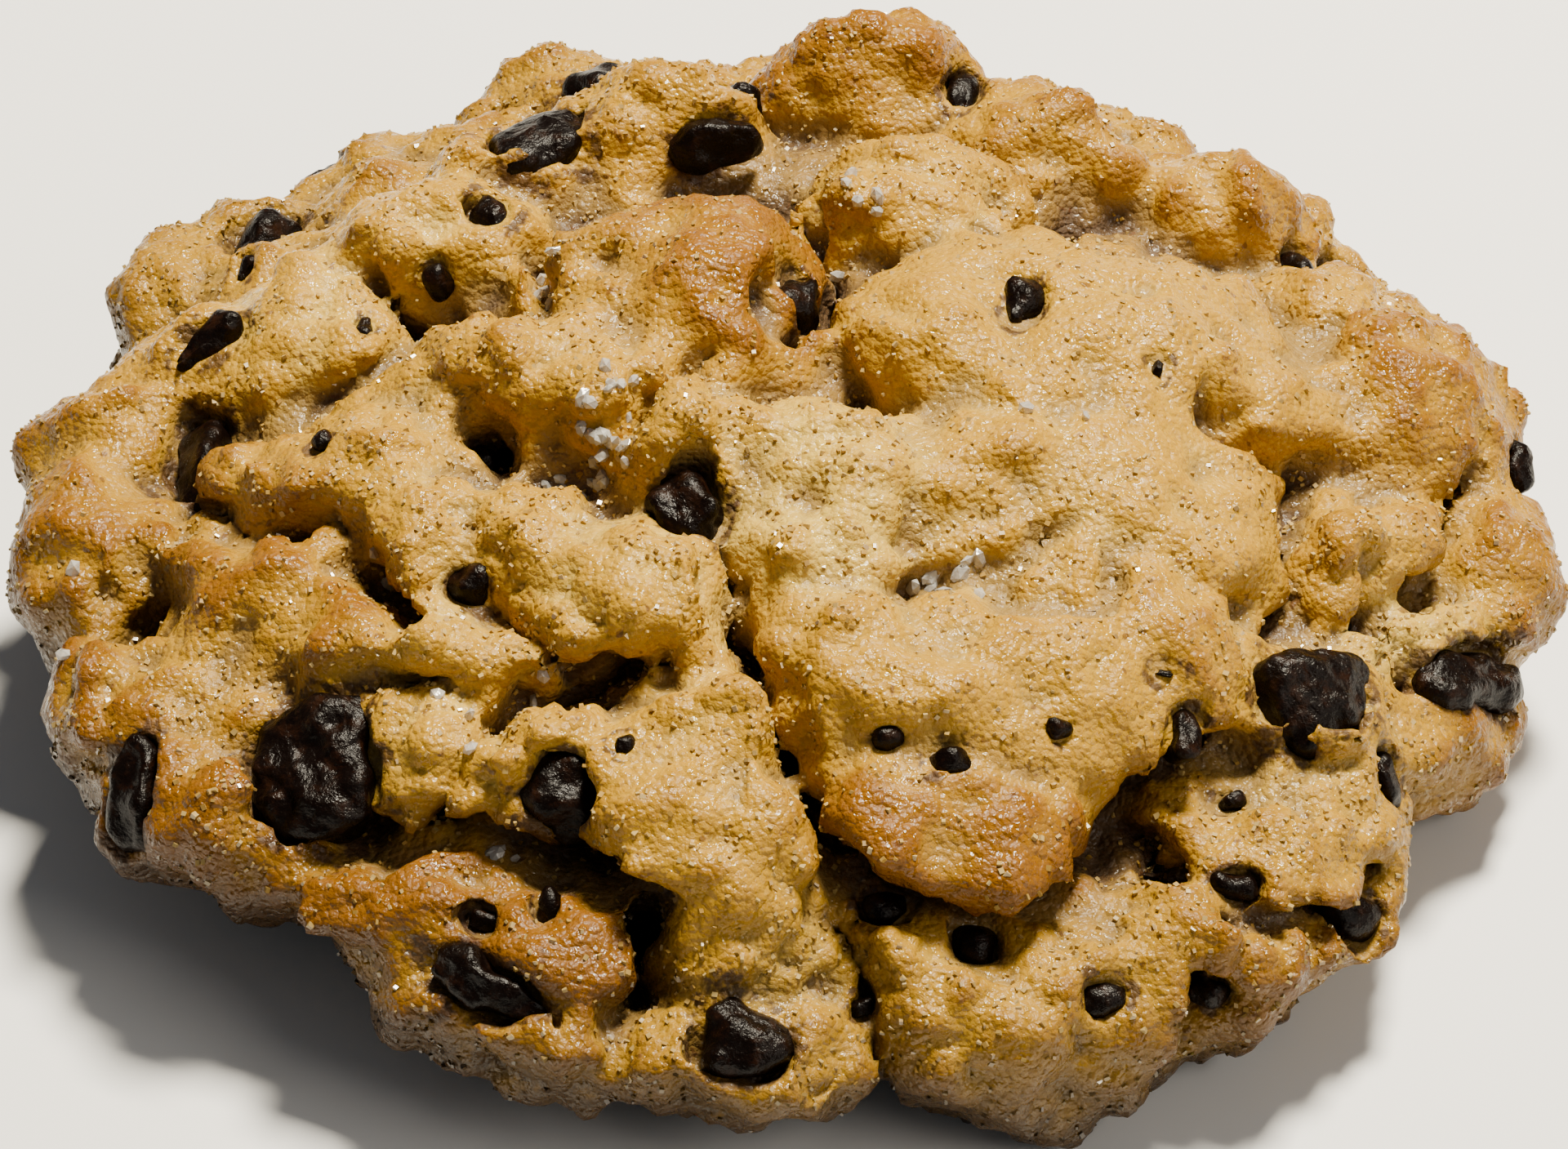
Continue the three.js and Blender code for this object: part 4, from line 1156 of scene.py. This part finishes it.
def grain_tree():
    inputs = {
        "Size": "NodeSocketFloat",
        "Count per square metre": "NodeSocketFloat",
        "Material": "NodeSocketMaterial",
    }
    tree, given = new_tree("skin_grain", inputs)
    normal = tree_node(tree, "GeometryNodeInputNormal")
    height = tree_node(tree, "ShaderNodeSeparateXYZ", None, {0: normal.outputs[0]})
    layer = {"data_type": "FLOAT"}
    patches = tree_node(tree, "GeometryNodeInputNamedAttribute", layer, {"Name": "crumbly"})
    low, high = GRAIN_FACING
    upward = tree_node(tree, "ShaderNodeMapRange", None, {0: height.outputs[2], 1: low, 2: high})
    factors = {0: upward.outputs[0], 1: patches.outputs[0]}
    share = tree_node(tree, "ShaderNodeMath", {"operation": "MULTIPLY"}, factors)
    places = {
        "Mesh": given.outputs["Geometry"],
        "Distance Min": GRAIN_SPACING,
        "Density Max": given.outputs["Count per square metre"],
        "Density Factor": share.outputs[0],
        "Seed": GRAIN_PLACES_SEED,
    }
    apart = {"distribute_method": "POISSON"}
    spread = tree_node(tree, "GeometryNodeDistributePointsOnFaces", apart, places)
    cube = tree_node(tree, "GeometryNodeMeshCube", None, {"Size": (1, 1, 1)})
    limits = (given.outputs["Size"], GRAIN_LEAST, GRAIN_MOST)
    grains = strewn(tree, spread.outputs["Points"], cube, *limits, GRAIN_SEED)
    finish_tree(tree, grains, given.outputs["Material"])
    return tree


def sugar_material():
    constants = {"Specular IOR Level": 0.6, "IOR": 1.5, "Transmission Weight": 0.3}
    material, shader, wire = new_material("sugar_crystals", constants)
    place = wire.node("ShaderNodeTexCoord", output=3)
    rim_brown_and_shade = wire.node("ShaderNodeAttribute", {"attribute_name": "rim_brown_and_shade"}, output=2)
    colour = grain(wire, place, TINT_PATCHES).ramped(*TINT_RANGE).blend(SUGAR_PALE, SUGAR_GOLD)
    # Grain on the low walls is browned and darkened with painted shade, as the dough is
    plug(rim_brown_and_shade.blend(colour, DOUGH_RIM_BROWN_AND_SHADE), shader, "Base Color")
    dullness = SUGAR_DULLNESS * grain(wire, place, SUGAR_DULL_PATCHES)
    plug(SUGAR_GLOSS + dullness, shader, "Roughness")
    return material


skin_grain = new_object("skin_grain", dough_mesh.copy())
grain_values = {
    "Size": GRAIN_SIZE,
    "Count per square metre": GRAIN_COUNT_PER_M2,
    "Material": sugar_material(),
}
grown(skin_grain, grain_tree(), grain_values)
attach(skin_grain, "root")

# The floor and the light. A plain pale surface, a soft lamp above and behind the cookie, as over
# a kitchen table, and a weak fill from the front right. The camera stands where the photo's did.
CAMERA_UP = math.radians(42)
CAMERA_AWAY = 0.3
CAMERA_AIM = Vector((0, -0.010, 0.012))
SENSOR = 36.0
IMAGE_WIDTH = 1920
FOCAL_PIXELS = 6300
CLIP_START = 0.01
FLOOR_SIZE = 3.0
FLOOR_GREY = (0.8, 0.8, 0.8, 1)
FLOOR_ROUGHNESS = 0.7
SKY_COLOUR = (0.88, 0.94, 1, 1)
SKY_STRENGTH = 0.12
# Lamps: name, place, size, power in watts, colour
LAMPS = [
    ("key", (0.09, 0.16, 0.46), 0.11, 9.7, (1.0, 0.91, 0.73)),
    ("fill", (0.36, -0.24, 0.32), 0.25, 0.9, (1.0, 0.92, 0.8)),
]


def area_light(name, place, size, power, colour):
    lamp = bpy.data.lights.new(name, "AREA")
    lamp.size = size
    lamp.energy = power
    lamp.color = colour
    made = new_object(name, lamp)
    made.location = place
    made.rotation_mode = "QUATERNION"
    made.rotation_quaternion = (CAMERA_AIM - Vector(place)).to_track_quat("-Z", "Y")


floor_mesh = bpy.data.meshes.new("floor")
half = FLOOR_SIZE / 2
corners = [(-half, -half, 0), (half, -half, 0), (half, half, 0), (-half, half, 0)]
floor_mesh.from_pydata(corners, [], [(0, 1, 2, 3)])
floor_look = {"Base Color": FLOOR_GREY, "Roughness": FLOOR_ROUGHNESS}
floor_material, _, _ = new_material("pale_floor", floor_look)
floor_mesh.materials.append(floor_material)
floor = new_object("floor", floor_mesh)

world = bpy.data.worlds.new("studio")
world.use_nodes = True
sky = world.node_tree.nodes["Background"]
sky.inputs["Color"].default_value = SKY_COLOUR
sky.inputs["Strength"].default_value = SKY_STRENGTH
bpy.context.scene.world = world
for lamp in LAMPS:
    area_light(*lamp)

camera_data = bpy.data.cameras.new("camera")
camera_data.sensor_width = SENSOR
camera_data.lens = FOCAL_PIXELS / IMAGE_WIDTH * SENSOR
camera_data.clip_start = CLIP_START
camera = new_object("camera", camera_data)
back = Vector((0, -math.cos(CAMERA_UP), math.sin(CAMERA_UP)))
camera.location = CAMERA_AIM + CAMERA_AWAY * back
camera.rotation_mode = "QUATERNION"
camera.rotation_quaternion = (-back).to_track_quat("-Z", "Y")
bpy.context.scene.camera = camera
